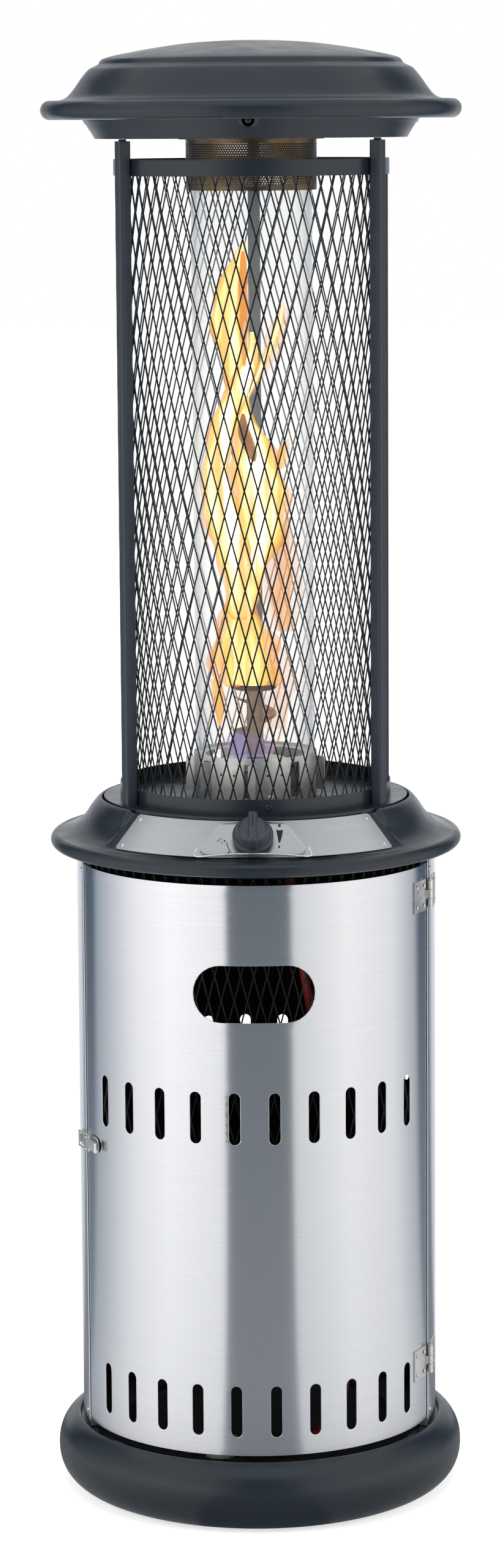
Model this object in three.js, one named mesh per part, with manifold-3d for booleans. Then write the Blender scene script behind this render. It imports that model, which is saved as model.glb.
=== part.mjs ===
// Gas patio heater with a flame column.
// Millimetres, +Z up. The origin is the centre of the foot on the floor.
// The door and the control panel face -Y. An azimuth of 0 is the front, and it grows towards +X.
import * as THREE from "three";
import { mergeVertices } from "three/addons/utils/BufferGeometryUtils.js";
import { ConvexGeometry } from "three/addons/geometries/ConvexGeometry.js";
import Module from "manifold-3d";

const wasm = await Module();
wasm.setup();

// Clearances and overruns
const gap = 0.3;
const overrun = 5;
const weld = 0.5;

// Facets of the turned pieces
const facets = 30;
const burnerFacets = 20;
const plateFacets = 24;
const roundFacets = 12;
const pinFacets = 8;

// Driving sizes
const sheet = 1.5;
const thin = 1.2;

const cabinet = {
  r: 217.8,
  height: 712.6,
  seam: 72,
  flange: 10,
  slotAngle: 12.6,
  slotsPerRow: 10,
  slotWidth: 13.5,
  slotHeight: 62.3,
  lowerSlots: 65.5,
  upperSlotsDrop: 290.4,
};
// How far pieces stand out past the piece that carries them, and how far others lie inside it
const overhang = { base: 30.8, lip: 7.2, collar: 30.8, hinge: 3.9, pan: 13.7, panFlare: 22, hat: 43.4 };
const inset = {
  foot: 58.6,
  channel: 25.8,
  floorDisc: 11.8,
  bottleSeat: 62.8,
  door: 1.3,
  liner: 2.8,
  topRing: 39.8,
  notch: 13.8,
  deck: 35.8,
  bracket: 14,
  tiltSwitch: 32,
  post: 10.7,
  collarFoot: 17.8,
  panel: 20.6,
  panelFloor: 34.6,
};
const baseR = cabinet.r + overhang.base;
const base = {
  r: baseR,
  halfWidth: 44.3,
  halfHeight: 45,
  footInnerR: baseR - inset.foot,
  lipR: cabinet.r + overhang.lip,
  lipRoll: 3.5,
  lipFall: 1.8,
  channelDrop: 11,
  channelInnerR: cabinet.r - inset.channel,
  roundness: 2.2,
};
const floorDisc = {
  r: cabinet.r - inset.floorDisc,
  seatR: cabinet.r - inset.bottleSeat,
  seatDepth: 5,
  wall: 2,
};
const door = {
  r: cabinet.r - inset.door,
  seam: 71.3,
  bottomGap: 11.3,
  topGap: 11,
  flange: 8,
  windowWidth: 146,
  windowHeight: 68,
  windowDrop: 129.9,
};
const liner = {
  r: door.r - inset.liner,
  depth: 2,
  strand: 3,
  columns: 20,
  rows: 6,
  seam: 66,
  topGap: 1.4,
  below: 65.6,
};
const topRing = {
  innerR: cabinet.r - inset.topRing,
  wall: 2,
  notchR: cabinet.r - inset.notch,
  notchHalfAngle: 26,
};
const deck = { r: cabinet.r - inset.deck, rise: 59.5, rim: 14, ventR: 33 };
const neck = { margin: 5, lip: 1.4, panelMargin: 0.4, pocketMargin: 0.1 };
const neckR = deck.r + neck.margin;
const collar = {
  r: cabinet.r + overhang.collar,
  beadR: 8.8,
  innerR: neckR - neck.lip,
  innerRise: 43.5,
  innerTopRise: 58.8,
  neckR,
  neckRise: 60,
  footR: cabinet.r - inset.collarFoot,
  padHalfAngle: 51,
  padLipRise: 55,
};
// Shares of the flare between the neck and the bead, across and down
const flareShares = [[0.14, 0.16], [0.27, 0.35], [0.5, 0.73], [0.8, 0.96]];
const panel = {
  halfAngle: 46,
  topR: neckR + neck.panelMargin,
  topRise: 57.6,
  bottomR: collar.r - inset.panel,
  bottomRise: 21,
  wall: 1.2,
  floorTopR: neckR - neck.pocketMargin,
  floorTopRise: 54.5,
  floorBottomR: collar.r - inset.panelFloor,
  floorBottomRise: 23.1,
  floorTopHalf: 38,
  floorBottomHalf: 66.5,
  stemHoleR: 6,
};
// Lean of the pocket's walls: run across for each unit of depth
const pocketLeanShares = { bottom: 1.3, side: 0.7, top: 0.35 };
const bracket = {
  width: 24,
  wall: 2,
  footR: deck.r,
  footReach: 14,
  topR: deck.r - inset.bracket,
  topReach: 20,
};
const post = {
  centreR: deck.r - inset.post,
  width: 15,
  corner: 3,
  wall: 1.5,
  above: 21.4,
  azimuth: 60,
  stubR: 4.5,
  stub: 2.3,
};
const ringR = post.centreR - post.width / 2 - gap;
const guard = {
  r: ringR - sheet - gap,
  depth: 2.4,
  columns: 16,
  rows: 12,
  strand: 3.2,
  ringR,
  ringHeight: 19.2,
  ringFlange: 12,
  bandHeight: 19,
  height: 762,
};
const panR = post.centreR + overhang.pan;
const pan = { topR: panR + overhang.panFlare, bottomR: panR, flare: 48.3, holeR: 7.5, holeRise: 20.5 };
// Points of the pan's wall as shares of its flare and height
const panShares = [[0.15, 0.145], [0.42, 0.37], [0.9, 0.72]];
const hat = { r: pan.topR + overhang.hat, beadR: 11.5, beadTurn: 235, rise: 92, rimRise: 22 };
// Points of the hat's crown as shares of its radius and rise
const crownShares = [
  [0.262, 0.972], [0.48, 0.9], [0.671, 0.793], [0.715, 0.74], [0.722, 0.7], [0.77, 0.62],
  [0.816, 0.457], [0.858, 0.318], [0.9, 0.258],
];
const sleeve = { r: 77.5, wall: 1, length: 60.5, flange: 9, holeR: 5, columns: 8, rows: 2 };
const glass = { r: 72, wall: 2.4, overlap: 10.5 };
const cup = {
  r: 74.5,
  wall: 1,
  height: 54,
  floorInnerR: 32,
  slots: 8,
  firstSlot: 0.8,
  slotWidth: 13.4,
  slotHeight: 42,
  slotRise: 5.5,
  tabReach: 13,
  tabLean: 50,
};
const seat = { innerR: 60, drop: 3.5, wall: 1.5 };
const burner = {
  ventR: 14,
  wall: 1.5,
  ventDrop: 18,
  flangeR: 42,
  headR: 40,
  headRise: 30,
  headHeight: 12.5,
  ports: 4,
  portR: 3,
  portRing: 32,
};
const holder = { r: 30, wall: 1, ribs: 4, ribDepth: 3, height: 91, footR: 34 };
const injector = { r: 7, height: 7.4, neckR: 3.6, neck: 8, nozzle: 3 };
const cradle = { width: 18, wall: 1.5, half: 34, reach: 13, drop: 32 };
const electrode = { r: 3, tipR: 1.2, height: 34, tip: 14, bodyR: 5, place: 55, azimuth: -75 };
const probe = { r: 2.5, height: 30, tipR: 1.8, tip: 12, place: 55, azimuth: 110 };
const tiltSwitch = { width: 26, depth: 18, height: 22, place: deck.r - inset.tiltSwitch, azimuth: 120 };
const valve = {
  neckR: 9,
  neck: 12,
  width: 32,
  depth: 28,
  length: 34,
  boreR: 4.4,
  bore: 32,
  chamfer: 5,
  inlet: 20,
  inletR: 7,
  elbow: 22,
};
const backPlate = { width: 68, below: 18, above: 10, wall: 1.5 };
const stem = { r: 4, inward: 30, outward: 20 };
const knob = {
  skirtR: 24,
  skirt: 5,
  bodyR: 20,
  topR: 12.5,
  body: 22,
  height: 24,
  lift: 6,
  bore: 15,
  gripBase: 13,
  gripTop: 9,
  gripLength: 46,
  gripTopLength: 34,
};
const pipe = { r: 4, bendIn: 12 };
const hinge = {
  r: 3.5,
  pinR: 1.5,
  boreR: 1.9,
  axisR: cabinet.r + overhang.hinge,
  azimuth: 71.5,
  height: 33,
  leafHeight: 38,
  leafWall: 1.5,
  leafAngle: 10.6,
  clearAngle: 1.3,
  tongueBack: 0.2,
  tongueReach: 2,
  upperDrop: 48.2,
  lowerRise: 86.6,
  headR: 2.6,
  head: 1.2,
};
const latch = {
  azimuth: -66,
  drop: 349.6,
  plateWall: 1.2,
  plateHeight: 20,
  plateReach: 12,
  plateBack: 8,
  earX: -5,
  earR: 3.4,
  earHalf: 7.6,
  earWall: 1.2,
  axisOut: 5.4,
  pinR: 1.1,
  leverHalf: 5.9,
  leverReach: 26,
  leverWall: 3,
  lipOut: 3.3,
  bailX: 6,
  bailR: 1.1,
  bailHalf: 9,
  bailReach: 34,
};
const keeper = { width: 14, height: 18, wall: 1.2, hook: 5.5, hookHeight: 10, clearance: 0.4 };
const hose = { r: 6.5 };
const regulator = {
  bodyR: 21,
  bodyHeight: 20,
  capR: 14,
  capHeight: 7,
  nutR: 9,
  nutLength: 14,
  tailR: 5,
  tail: 8,
  tailSeat: 2,
  outletR: 13,
  outlet: 16,
};

// Heights of what stands on what
const channelZ = 2 * base.halfHeight - base.channelDrop;
const floorZ = channelZ + gap + floorDisc.wall;
const shellBottomZ = channelZ + gap;
const shellTopZ = shellBottomZ + cabinet.height;
const doorBottomZ = shellBottomZ + door.bottomGap;
const doorTopZ = shellTopZ - door.topGap;
const lowerSlotsZ = shellBottomZ + cabinet.lowerSlots;
const upperSlotsZ = shellTopZ - cabinet.upperSlotsDrop;
const topRingZ = shellTopZ + gap;
const topRingTopZ = topRingZ + topRing.wall;
const collarZ = topRingTopZ + gap;
const deckTopZ = collarZ + deck.rise;
const deckUnderZ = deckTopZ - sheet;
const guardZ = deckTopZ + gap;
const guardTopZ = guardZ + guard.height;
const postTopZ = guardTopZ + post.above;
const panZ = postTopZ + post.stub + gap;
const hatRimZ = panZ + hat.rimRise;
const cupZ = deckTopZ + gap;
const cupTopZ = cupZ + cup.height;
const seatZ = cupTopZ - seat.drop;
const sleeveTopZ = panZ - gap;
const sleeveZ = sleeveTopZ - sleeve.length;
const glassZ = seatZ + gap;
const glassTopZ = sleeveZ + glass.overlap;
const flangeZ = cupZ + cup.wall + gap;
const headZ = flangeZ + burner.headRise;
const headTopZ = headZ + burner.headHeight;
const holderZ = headTopZ + gap;
const ventZ = cupZ - burner.ventDrop;
const cradleZ = deckUnderZ - gap - cradle.drop;

// The control panel's floor is flat and leans: its frame has +Z out of the floor and +Y up the slope
const floorRun = panel.floorBottomR - panel.floorTopR;
const floorClimb = panel.floorTopRise - panel.floorBottomRise;
const floorLength = Math.hypot(floorRun, floorClimb);
const panelTilt = Math.atan2(floorClimb, floorRun);
const panelR = (panel.floorBottomR + panel.floorTopR) / 2;
const panelZ = collarZ + (panel.floorBottomRise + panel.floorTopRise) / 2;

const rad = THREE.MathUtils.degToRad;

// Materials
function paint(color, roughness, metalness) {
  return new THREE.MeshStandardMaterial({ color, roughness, metalness });
}
const slate = paint(0x3e464d, 0.45, 0.4);
const brushed = paint(0xb9bcbf, 0.3, 1);
const stainless = paint(0xc9c6bd, 0.28, 1);
const black = paint(0x17191b, 0.5, 0.2);
const heated = paint(0x8a6a4c, 0.4, 1);
const brass = paint(0xb8934a, 0.35, 1);
const clear = new THREE.MeshStandardMaterial({ color: 0xe8f0f2, transparent: true, opacity: 0.25 });
const plastic = paint(0x3a4147, 0.5, 0);
const ceramic = paint(0xe9e4d8, 0.6, 0);
const copper = paint(0xa8663c, 0.35, 1);
const rubber = paint(0xa8392b, 0.7, 0);
const zinc = paint(0x9aa0a3, 0.4, 1);

// Closed geometry to solid, and back to a named mesh
function toSolid(geometry) {
  const bare = geometry.index ? geometry.toNonIndexed() : geometry.clone();
  bare.deleteAttribute("normal");
  bare.deleteAttribute("uv");
  const merged = mergeVertices(bare, 1e-4);
  const position = merged.attributes.position;
  const index = merged.index.array;
  const kept = [];
  let volume = 0;
  const [a, b, c] = [new THREE.Vector3(), new THREE.Vector3(), new THREE.Vector3()];
  for (let i = 0; i < index.length; i += 3) {
    const [i0, i1, i2] = [index[i], index[i + 1], index[i + 2]];
    if (i0 === i1 || i1 === i2 || i2 === i0) continue;
    kept.push(i0, i1, i2);
    a.fromBufferAttribute(position, i0);
    b.fromBufferAttribute(position, i1);
    c.fromBufferAttribute(position, i2);
    volume += a.dot(b.cross(c));
  }
  if (volume < 0) {
    for (let i = 0; i < kept.length; i += 3) {
      [kept[i + 1], kept[i + 2]] = [kept[i + 2], kept[i + 1]];
    }
  }
  const mesh = new wasm.Mesh({
    numProp: 3,
    vertProperties: new Float32Array(position.array),
    triVerts: new Uint32Array(kept),
  });
  return new wasm.Manifold(mesh);
}

function toMesh(name, solid, material) {
  const out = solid.getMesh();
  const geometry = new THREE.BufferGeometry();
  geometry.setAttribute("position", new THREE.BufferAttribute(new Float32Array(out.vertProperties), 3));
  geometry.setIndex(new THREE.BufferAttribute(new Uint32Array(out.triVerts), 1));
  geometry.computeVertexNormals();
  const mesh = new THREE.Mesh(geometry, material);
  mesh.name = name;
  return mesh;
}

function joined(solids) {
  return solids.reduce((whole, next) => whole.add(next));
}

// Turned solid: its section is a list of [radius, height] points
function turned(section, steps = facets) {
  const points = section.map(([r, z]) => new THREE.Vector2(r, z));
  const onAxis = section[0][0] === 0 && section[section.length - 1][0] === 0;
  if (!onAxis) points.push(points[0].clone());
  return toSolid(new THREE.LatheGeometry(points, steps).rotateX(rad(90)));
}

function ring(innerR, outerR, z0, z1, steps = facets) {
  return turned([[innerR, z0], [outerR, z0], [outerR, z1], [innerR, z1]], steps);
}

function disc(r, z0, z1, steps = facets) {
  return turned([[0, z0], [r, z0], [r, z1], [0, z1]], steps);
}

// Wall of even thickness on one side of a line of [radius, height] points
function wallSection(line, wall) {
  const inner = line.map((point, i) => {
    const before = line[Math.max(i - 1, 0)];
    const after = line[Math.min(i + 1, line.length - 1)];
    const sides = [[before, point], [point, after]]
      .map(([p, q]) => new THREE.Vector2(q[0] - p[0], q[1] - p[1]))
      .filter((side) => side.length() > 0)
      .map((side) => new THREE.Vector2(side.y, -side.x).normalize());
    const mean = sides.reduce((sum, side) => sum.add(side), new THREE.Vector2()).normalize();
    const fresh = new THREE.Vector2(point[0] - before[0], point[1] - before[1]);
    const lean = i === 0 ? 1 : mean.dot(new THREE.Vector2(fresh.y, -fresh.x).normalize());
    return [point[0] + (mean.x * wall) / lean, point[1] + (mean.y * wall) / lean];
  });
  return [...line, ...inner.reverse()];
}

// Points on an arc in the section plane, angles in degrees from +radius to +height
function arc(r, z, radius, from, to, steps) {
  const points = [];
  for (let i = 0; i <= steps; i += 1) {
    const angle = rad(from + ((to - from) * i) / steps);
    points.push([r + radius * Math.cos(angle), z + radius * Math.sin(angle)]);
  }
  return points;
}

// Slice of the space round the axis, between two azimuths
function sector(from, to, reach, z0, z1) {
  const shape = new THREE.Shape([new THREE.Vector2(0, 0)]);
  const steps = Math.ceil((to - from) / 30);
  const span = reach / Math.cos(rad((to - from) / steps / 2));
  for (let i = 0; i <= steps; i += 1) {
    const azimuth = rad(from + ((to - from) * i) / steps);
    shape.lineTo(span * Math.sin(azimuth), -span * Math.cos(azimuth));
  }
  shape.closePath();
  const slice = new THREE.ExtrudeGeometry(shape, { depth: z1 - z0, bevelEnabled: false });
  return toSolid(slice.translate(0, 0, z0));
}

function box(width, depth, height, x, y, z) {
  return toSolid(new THREE.BoxGeometry(width, depth, height).translate(x, y, z));
}

// Cylinder along +Z from z0 to z1
function rod(r, z0, z1, x, y, steps) {
  const geometry = new THREE.CylinderGeometry(r, r, z1 - z0, steps).rotateX(rad(90));
  return toSolid(geometry.translate(x, y, (z0 + z1) / 2));
}

// Long hole with round ends, cut along the radius at an azimuth
function longHole(width, height, azimuth, z, innerR, outerR, turns = 2) {
  const shape = new THREE.Shape();
  const wide = width > height;
  const radius = Math.min(width, height) / 2;
  const half = Math.max(width, height) / 2 - radius;
  const centres = wide ? [[half, 0, -90], [-half, 0, 90]] : [[0, half, 0], [0, -half, 180]];
  const points = centres.flatMap(([x, y, from]) => arc(x, y, radius, from, from + 180, turns));
  shape.setFromPoints(points.map(([x, y]) => new THREE.Vector2(x, y)));
  const cutter = new THREE.ExtrudeGeometry(shape, { depth: outerR - innerR, bevelEnabled: false });
  cutter.rotateX(rad(90)).translate(0, -innerR, z).rotateZ(rad(azimuth));
  return toSolid(cutter);
}

// Group whose own -Y axis points out along the radius at an azimuth
function station(azimuth, r, z) {
  const group = new THREE.Group();
  group.position.set(r * Math.sin(rad(azimuth)), -r * Math.cos(rad(azimuth)), z);
  group.rotation.z = rad(azimuth);
  return group;
}

// The same place as a matrix, for solids that are cut with their neighbours
function placed(solid, group) {
  group.updateMatrix();
  return solid.transform(group.matrix.toArray());
}

// Base skirt: one rolled sheet with a flat foot, a fat round ring, a lip and a channel
function baseSkirt() {
  const centreR = base.r - base.halfWidth;
  const ringPoint = (t) => {
    const across = Math.sign(Math.cos(t)) * Math.abs(Math.cos(t)) ** (2 / base.roundness);
    const up = Math.sign(Math.sin(t)) * Math.abs(Math.sin(t)) ** (2 / base.roundness);
    return [centreR + base.halfWidth * across, base.halfHeight * (1 + up)];
  };
  const lipShare = (base.lipR - centreR) / base.halfWidth;
  const lipTurn = Math.acos(lipShare ** (base.roundness / 2));
  const steps = 5;
  const outer = [];
  for (let i = 0; i <= steps; i += 1) {
    outer.push(ringPoint(-Math.PI / 2 + ((lipTurn + Math.PI / 2) * i) / steps));
  }
  const rolled = [base.lipR - base.lipRoll, outer[steps][1] - base.lipFall];
  const line = [
    [base.footInnerR, 0],
    ...outer,
    rolled,
    [base.lipR - base.lipRoll, channelZ],
    [base.channelInnerR, channelZ],
  ];
  return turned(wallSection(line.reverse(), sheet));
}

// Floor plate with a sunk round seat for the gas bottle
function floorPlate() {
  const { r, seatR, seatDepth, wall } = floorDisc;
  const top = [[0, floorZ - seatDepth], [seatR, floorZ - seatDepth], [seatR + seatDepth, floorZ]];
  const under = top.map(([x, z]) => [x, z - wall]);
  const rim = [[r, floorZ - wall], [r, floorZ]];
  return turned([...under, ...rim, ...top.reverse()], plateFacets);
}

function slotRow(solid, middle, z, r) {
  const { slotsPerRow, slotAngle, slotWidth, slotHeight } = cabinet;
  let cut = solid;
  for (let i = 0; i < slotsPerRow; i += 1) {
    const azimuth = middle + (i - (slotsPerRow - 1) / 2) * slotAngle;
    cut = cut.subtract(longHole(slotWidth, slotHeight, azimuth, z, r - overrun * 2, r + overrun));
  }
  return cut;
}

// Rear shell: the fixed part of the cabinet, with edges bent inward at both seams
function rearShell() {
  const { r, seam, flange } = cabinet;
  const skin = ring(r - thin, r, shellBottomZ, shellTopZ);
  const rim = ring(r - flange, r - weld, shellBottomZ, shellTopZ);
  const flangeAngle = THREE.MathUtils.radToDeg(thin / r);
  const slice = (from, to) => sector(from, to, r + overrun, shellBottomZ - overrun, shellTopZ + overrun);
  let shell = joined([
    skin.intersect(slice(seam, 360 - seam)),
    rim.intersect(slice(seam, seam + flangeAngle)),
    rim.intersect(slice(360 - seam - flangeAngle, 360 - seam)),
  ]);
  for (const z of [lowerSlotsZ, upperSlotsZ]) {
    shell = slotRow(shell, 180, z, r);
  }
  return shell;
}

// Door: a curved sheet with bent edges, an oval window and two rows of slots
function doorPanel() {
  const { r, seam, flange, windowWidth, windowHeight, windowDrop } = door;
  const skin = ring(r - thin, r, doorBottomZ, doorTopZ);
  const rim = ring(r - flange, r - weld, doorBottomZ, doorTopZ);
  const flangeAngle = THREE.MathUtils.radToDeg(thin / r);
  const slice = (from, to) => sector(from, to, r + overrun, doorBottomZ - overrun, doorTopZ + overrun);
  let panelSolid = joined([
    skin.intersect(slice(-seam, seam)),
    rim.intersect(slice(-seam, -seam + flangeAngle)),
    rim.intersect(slice(seam - flangeAngle, seam)),
  ]);
  for (const z of [lowerSlotsZ, upperSlotsZ]) {
    panelSolid = slotRow(panelSolid, 0, z, r);
  }
  const windowZ = doorTopZ - windowDrop;
  return panelSolid.subtract(
    longHole(windowWidth, windowHeight, 0, windowZ, r - overrun * 6, r + overrun, 5));
}

// Expanded metal round the axis: strands of a three-sided section between diamond openings.
// Crossing i of row j lies at a whole turn share on even rows and half a share on in odd ones.
function diamondNet({ r, depth, strand, columns, rows, z0, z1 }) {
  const rowHeight = (z1 - z0 - strand * 2) / rows;
  const halfTurn = Math.PI / columns;
  const innerR = r - depth;
  const slope = Math.hypot(rowHeight, halfTurn * r);
  const reachUp = (strand / 2) * (slope / (halfTurn * r));
  const reachRound = ((strand / 2) * (slope / rowHeight)) / r;
  const barReach = reachRound + ((strand / 2) * halfTurn) / rowHeight;
  const place = (i, j, turn, rise, radius) => {
    const whole = (i + columns) % columns;
    const azimuth = (whole + (j % 2) / 2) * halfTurn * 2 + turn;
    const z = z0 + strand + j * rowHeight + rise;
    return new THREE.Vector3(radius * Math.sin(azimuth), -radius * Math.cos(azimuth), z);
  };
  const ridge = (i, j) => place(i, j, 0, 0, r);
  const up = (i, j) => place(i, j, 0, j === rows ? strand : reachUp, innerR);
  const down = (i, j) => place(i, j, 0, j === 0 ? -strand : -reachUp, innerR);
  const aside = (i, j, way) => {
    if (j === 0) return place(i, j, way * barReach, strand / 2, innerR);
    if (j === rows) return place(i, j, way * barReach, -strand / 2, innerR);
    return place(i, j, way * reachRound, 0, innerR);
  };
  const right = (i, j) => aside(i, j, 1);
  const left = (i, j) => aside(i, j, -1);
  const corners = [];
  const face = (...ring) => {
    for (let k = 2; k < ring.length; k += 1) corners.push(ring[0], ring[k - 1], ring[k]);
  };
  for (let j = 0; j <= rows; j += 1) {
    for (let i = 0; i < columns; i += 1) {
      const next = i + 1;
      const ahead = i + (j % 2);
      const behind = ahead - 1;
      face(left(i, j), up(i, j), right(i, j), down(i, j));
      if (j < rows) {
        face(ridge(i, j), right(i, j), down(ahead, j + 1), ridge(ahead, j + 1));
        face(ridge(next, j), ridge(ahead, j + 1), down(ahead, j + 1), left(next, j));
        face(up(i, j), left(ahead, j + 1), down(ahead, j + 1), right(i, j));
        face(left(i, j), down(behind, j + 1), right(behind, j + 1), up(i, j));
      }
      if (j > 0) {
        face(ridge(i, j), ridge(ahead, j - 1), up(ahead, j - 1), right(i, j));
        face(ridge(next, j), left(next, j), up(ahead, j - 1), ridge(ahead, j - 1));
      }
      if (j === 0) {
        face(ridge(i, j), ridge(next, j), left(next, j), right(i, j));
        face(down(i, j), down(next, j), ridge(next, j), ridge(i, j));
        face(down(i, j), right(i, j), left(next, j), down(next, j));
      }
      if (j === rows) {
        face(right(i, j), left(next, j), ridge(next, j), ridge(i, j));
        face(ridge(i, j), ridge(next, j), up(next, j), up(i, j));
        face(right(i, j), up(i, j), up(next, j), left(next, j));
      }
    }
  }
  return toSolid(new THREE.BufferGeometry().setFromPoints(corners));
}

// Sheet behind the door's window and upper slots
function doorLiner() {
  const z0 = upperSlotsZ - liner.below;
  const z1 = shellTopZ - liner.topGap;
  const { r, depth, strand, columns, rows, seam } = liner;
  const net = diamondNet({ r, depth, strand, columns, rows, z0, z1 });
  return net.intersect(sector(-seam, seam, r + overrun, z0 - overrun, z1 + overrun));
}

// Console collar: neck, flare or straight pad, fat rolled rim and a foot on the top ring
function collarLine(slope) {
  const beadR = collar.r - collar.beadR;
  const beadZ = collarZ + collar.beadR;
  return [
    [collar.innerR, collarZ + collar.innerRise],
    ...slope,
    ...arc(beadR, beadZ, collar.beadR, 105, -90, 4),
    [collar.footR, collarZ],
  ];
}

function consoleCollar() {
  const flareEndR = panel.bottomR;
  const flareEndRise = panel.bottomRise;
  const flare = flareShares.map(([across, fall]) => [
    collar.neckR + (flareEndR - collar.neckR) * across,
    collarZ + collar.neckRise - (collar.neckRise - flareEndRise) * fall,
  ]);
  const neck = [
    [collar.innerR, collarZ + collar.innerTopRise],
    [collar.neckR, collarZ + collar.neckRise],
  ];
  const flared = turned(wallSection(collarLine([...neck, ...flare]), sheet));
  const pad = padLine();
  const padded = turned(wallSection(collarLine([
    [collar.innerR, collarZ + collar.padLipRise], pad[0], pad[1]]), sheet));
  const slice = (from, to) => sector(from, to, collar.r + overrun, collarZ - overrun, guardZ + overrun);
  const half = collar.padHalfAngle;
  const stepAngle = THREE.MathUtils.radToDeg(sheet / pad[1][0]);
  const raised = flare.slice(1);
  const under = raised.map(([r, z]) => [r - sheet, z - sheet]);
  const step = turned([raised[0], pad[1], ...under.reverse()]);
  const steps = [slice(half - stepAngle, half), slice(-half, -half + stepAngle)];
  return joined([
    flared.intersect(slice(half - stepAngle, 360 - half + stepAngle)),
    padded.intersect(slice(-half, half)),
    ...steps.map((cut) => step.intersect(cut)),
  ]).subtract(placed(pocketBlock(panel.wall + gap), panelFrame()));
}

// Straight slope that carries the panel, a clearance below the panel's back
function padLine() {
  const top = new THREE.Vector2(panel.topR, panel.topRise);
  const bottom = new THREE.Vector2(panel.bottomR, panel.bottomRise);
  const along = bottom.clone().sub(top).normalize();
  const drop = new THREE.Vector2(along.y, -along.x).multiplyScalar(panel.wall + gap);
  return [top, bottom].map((point) => [point.x + drop.x, collarZ + point.y + drop.y]);
}

function panelFrame() {
  const frame = new THREE.Group();
  frame.position.set(0, -panelR, panelZ);
  frame.rotation.x = panelTilt;
  return frame;
}

// Pocket of the panel: a flat trapezoid floor with leaning walls, grown all round by a wall
function pocketBlock(grown) {
  const depth = panel.stemHoleR * 2;
  const corners = [];
  for (const z of [-grown, depth]) {
    const { bottom, side, top } = pocketLeanShares;
    const low = -floorLength / 2 - bottom * z - grown * Math.hypot(1, bottom);
    const high = floorLength / 2 + top * z + grown * Math.hypot(1, top);
    const taper = (panel.floorBottomHalf - panel.floorTopHalf) / floorLength;
    for (const y of [low, high]) {
      const half = panel.floorBottomHalf - (y + floorLength / 2) * taper;
      const reach = half + side * z + grown * Math.hypot(1, side) * Math.hypot(1, taper);
      corners.push(new THREE.Vector3(reach, y, z), new THREE.Vector3(-reach, y, z));
    }
  }
  return toSolid(new ConvexGeometry(corners));
}

function controlPanel() {
  const top = [panel.topR, collarZ + panel.topRise];
  const bottom = [panel.bottomR, collarZ + panel.bottomRise];
  const plate = turned(wallSection([top, bottom], panel.wall));
  const body = turned([[0, collarZ], [panel.bottomR, collarZ], bottom, top, [0, top[1]]]);
  const slice = sector(-panel.halfAngle, panel.halfAngle, collar.r, collarZ - overrun, guardZ + overrun);
  const pocket = placed(pocketBlock(panel.wall), panelFrame()).intersect(body);
  const hole = rod(panel.stemHoleR, -overrun, overrun, 0, 0, roundFacets);
  return plate
    .intersect(slice)
    .add(pocket)
    .subtract(placed(pocketBlock(0), panelFrame()))
    .subtract(placed(hole, panelFrame()));
}

// Deck plate with a bent rim and the opening for the burner
function deckPlate() {
  const { r, rim, ventR } = deck;
  const line = [[ventR, deckTopZ], [r, deckTopZ], [r, deckTopZ - rim]];
  return turned(wallSection(line, sheet), plateFacets);
}

// Bracket from the top ring up to the deck plate
function deckBracket(azimuth) {
  const { width, wall, footR, footReach, topR, topReach } = bracket;
  const low = topRingTopZ + gap;
  const high = deckUnderZ - gap;
  const outline = [
    [footR + footReach, low], [footR + footReach, low + wall], [footR + wall, low + wall],
    [topR + wall, high], [topR - topReach, high], [topR - topReach, high - wall], [topR, high - wall],
    [footR, low],
  ];
  const shape = new THREE.Shape(outline.map(([r, z]) => new THREE.Vector2(r, z)));
  const strip = new THREE.ExtrudeGeometry(shape, { depth: width, bevelEnabled: false });
  strip.translate(0, 0, -width / 2).rotateX(rad(90)).rotateZ(rad(-90));
  return placed(toSolid(strip), station(azimuth, 0, 0));
}

// Round-edged square tube, closed at the top by a plug with its stub
function postTube(azimuth) {
  const { width, corner, wall, centreR, stubR, stub } = post;
  const square = (side, radius, z0, z1) => {
    const shape = new THREE.Shape();
    const reach = side / 2 - radius;
    const corners = [[reach, reach, 0], [-reach, reach, 90], [-reach, -reach, 180], [reach, -reach, 270]];
    const points = corners.flatMap(([x, y, from]) => arc(x, y, radius, from, from + 90, 2));
    shape.setFromPoints(points.map(([x, y]) => new THREE.Vector2(x, y)));
    const bar = new THREE.ExtrudeGeometry(shape, { depth: z1 - z0, bevelEnabled: false });
    return toSolid(bar.translate(0, 0, z0));
  };
  const solid = square(width, corner, guardZ, postTopZ)
    .subtract(square(width - 2 * wall, corner - wall, guardZ - overrun, postTopZ - wall))
    .add(rod(stubR, postTopZ - wall, postTopZ + stub, 0, 0, pinFacets));
  return placed(solid, station(azimuth, centreR, 0));
}

// The bands have a corner at each crossing of the net, which lies inside them
const guardFacets = guard.columns * 2;

function guardRing() {
  const { ringR, ringHeight, ringFlange } = guard;
  const top = guardZ + ringHeight;
  return turned(wallSection([
    [ringR - ringFlange, guardZ], [ringR, guardZ], [ringR, top]].reverse(), sheet), guardFacets);
}

function guardBand() {
  return ring(guard.ringR - sheet, guard.ringR, guardTopZ - guard.bandHeight, guardTopZ, guardFacets);
}

const crown = crownShares.map(([across, up]) => [hat.r * across, hatRimZ + hat.rise * up]);

// Height of the hat's underside at a radius of its crown
function hatUnder(r) {
  const i = crown.findIndex((point) => point[0] > r);
  const [[r0, z0], [r1, z1]] = [crown[i - 1], crown[i]];
  const slope = (z1 - z0) / (r1 - r0);
  return z0 + slope * (r - r0) - sheet * Math.hypot(1, slope);
}

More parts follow.
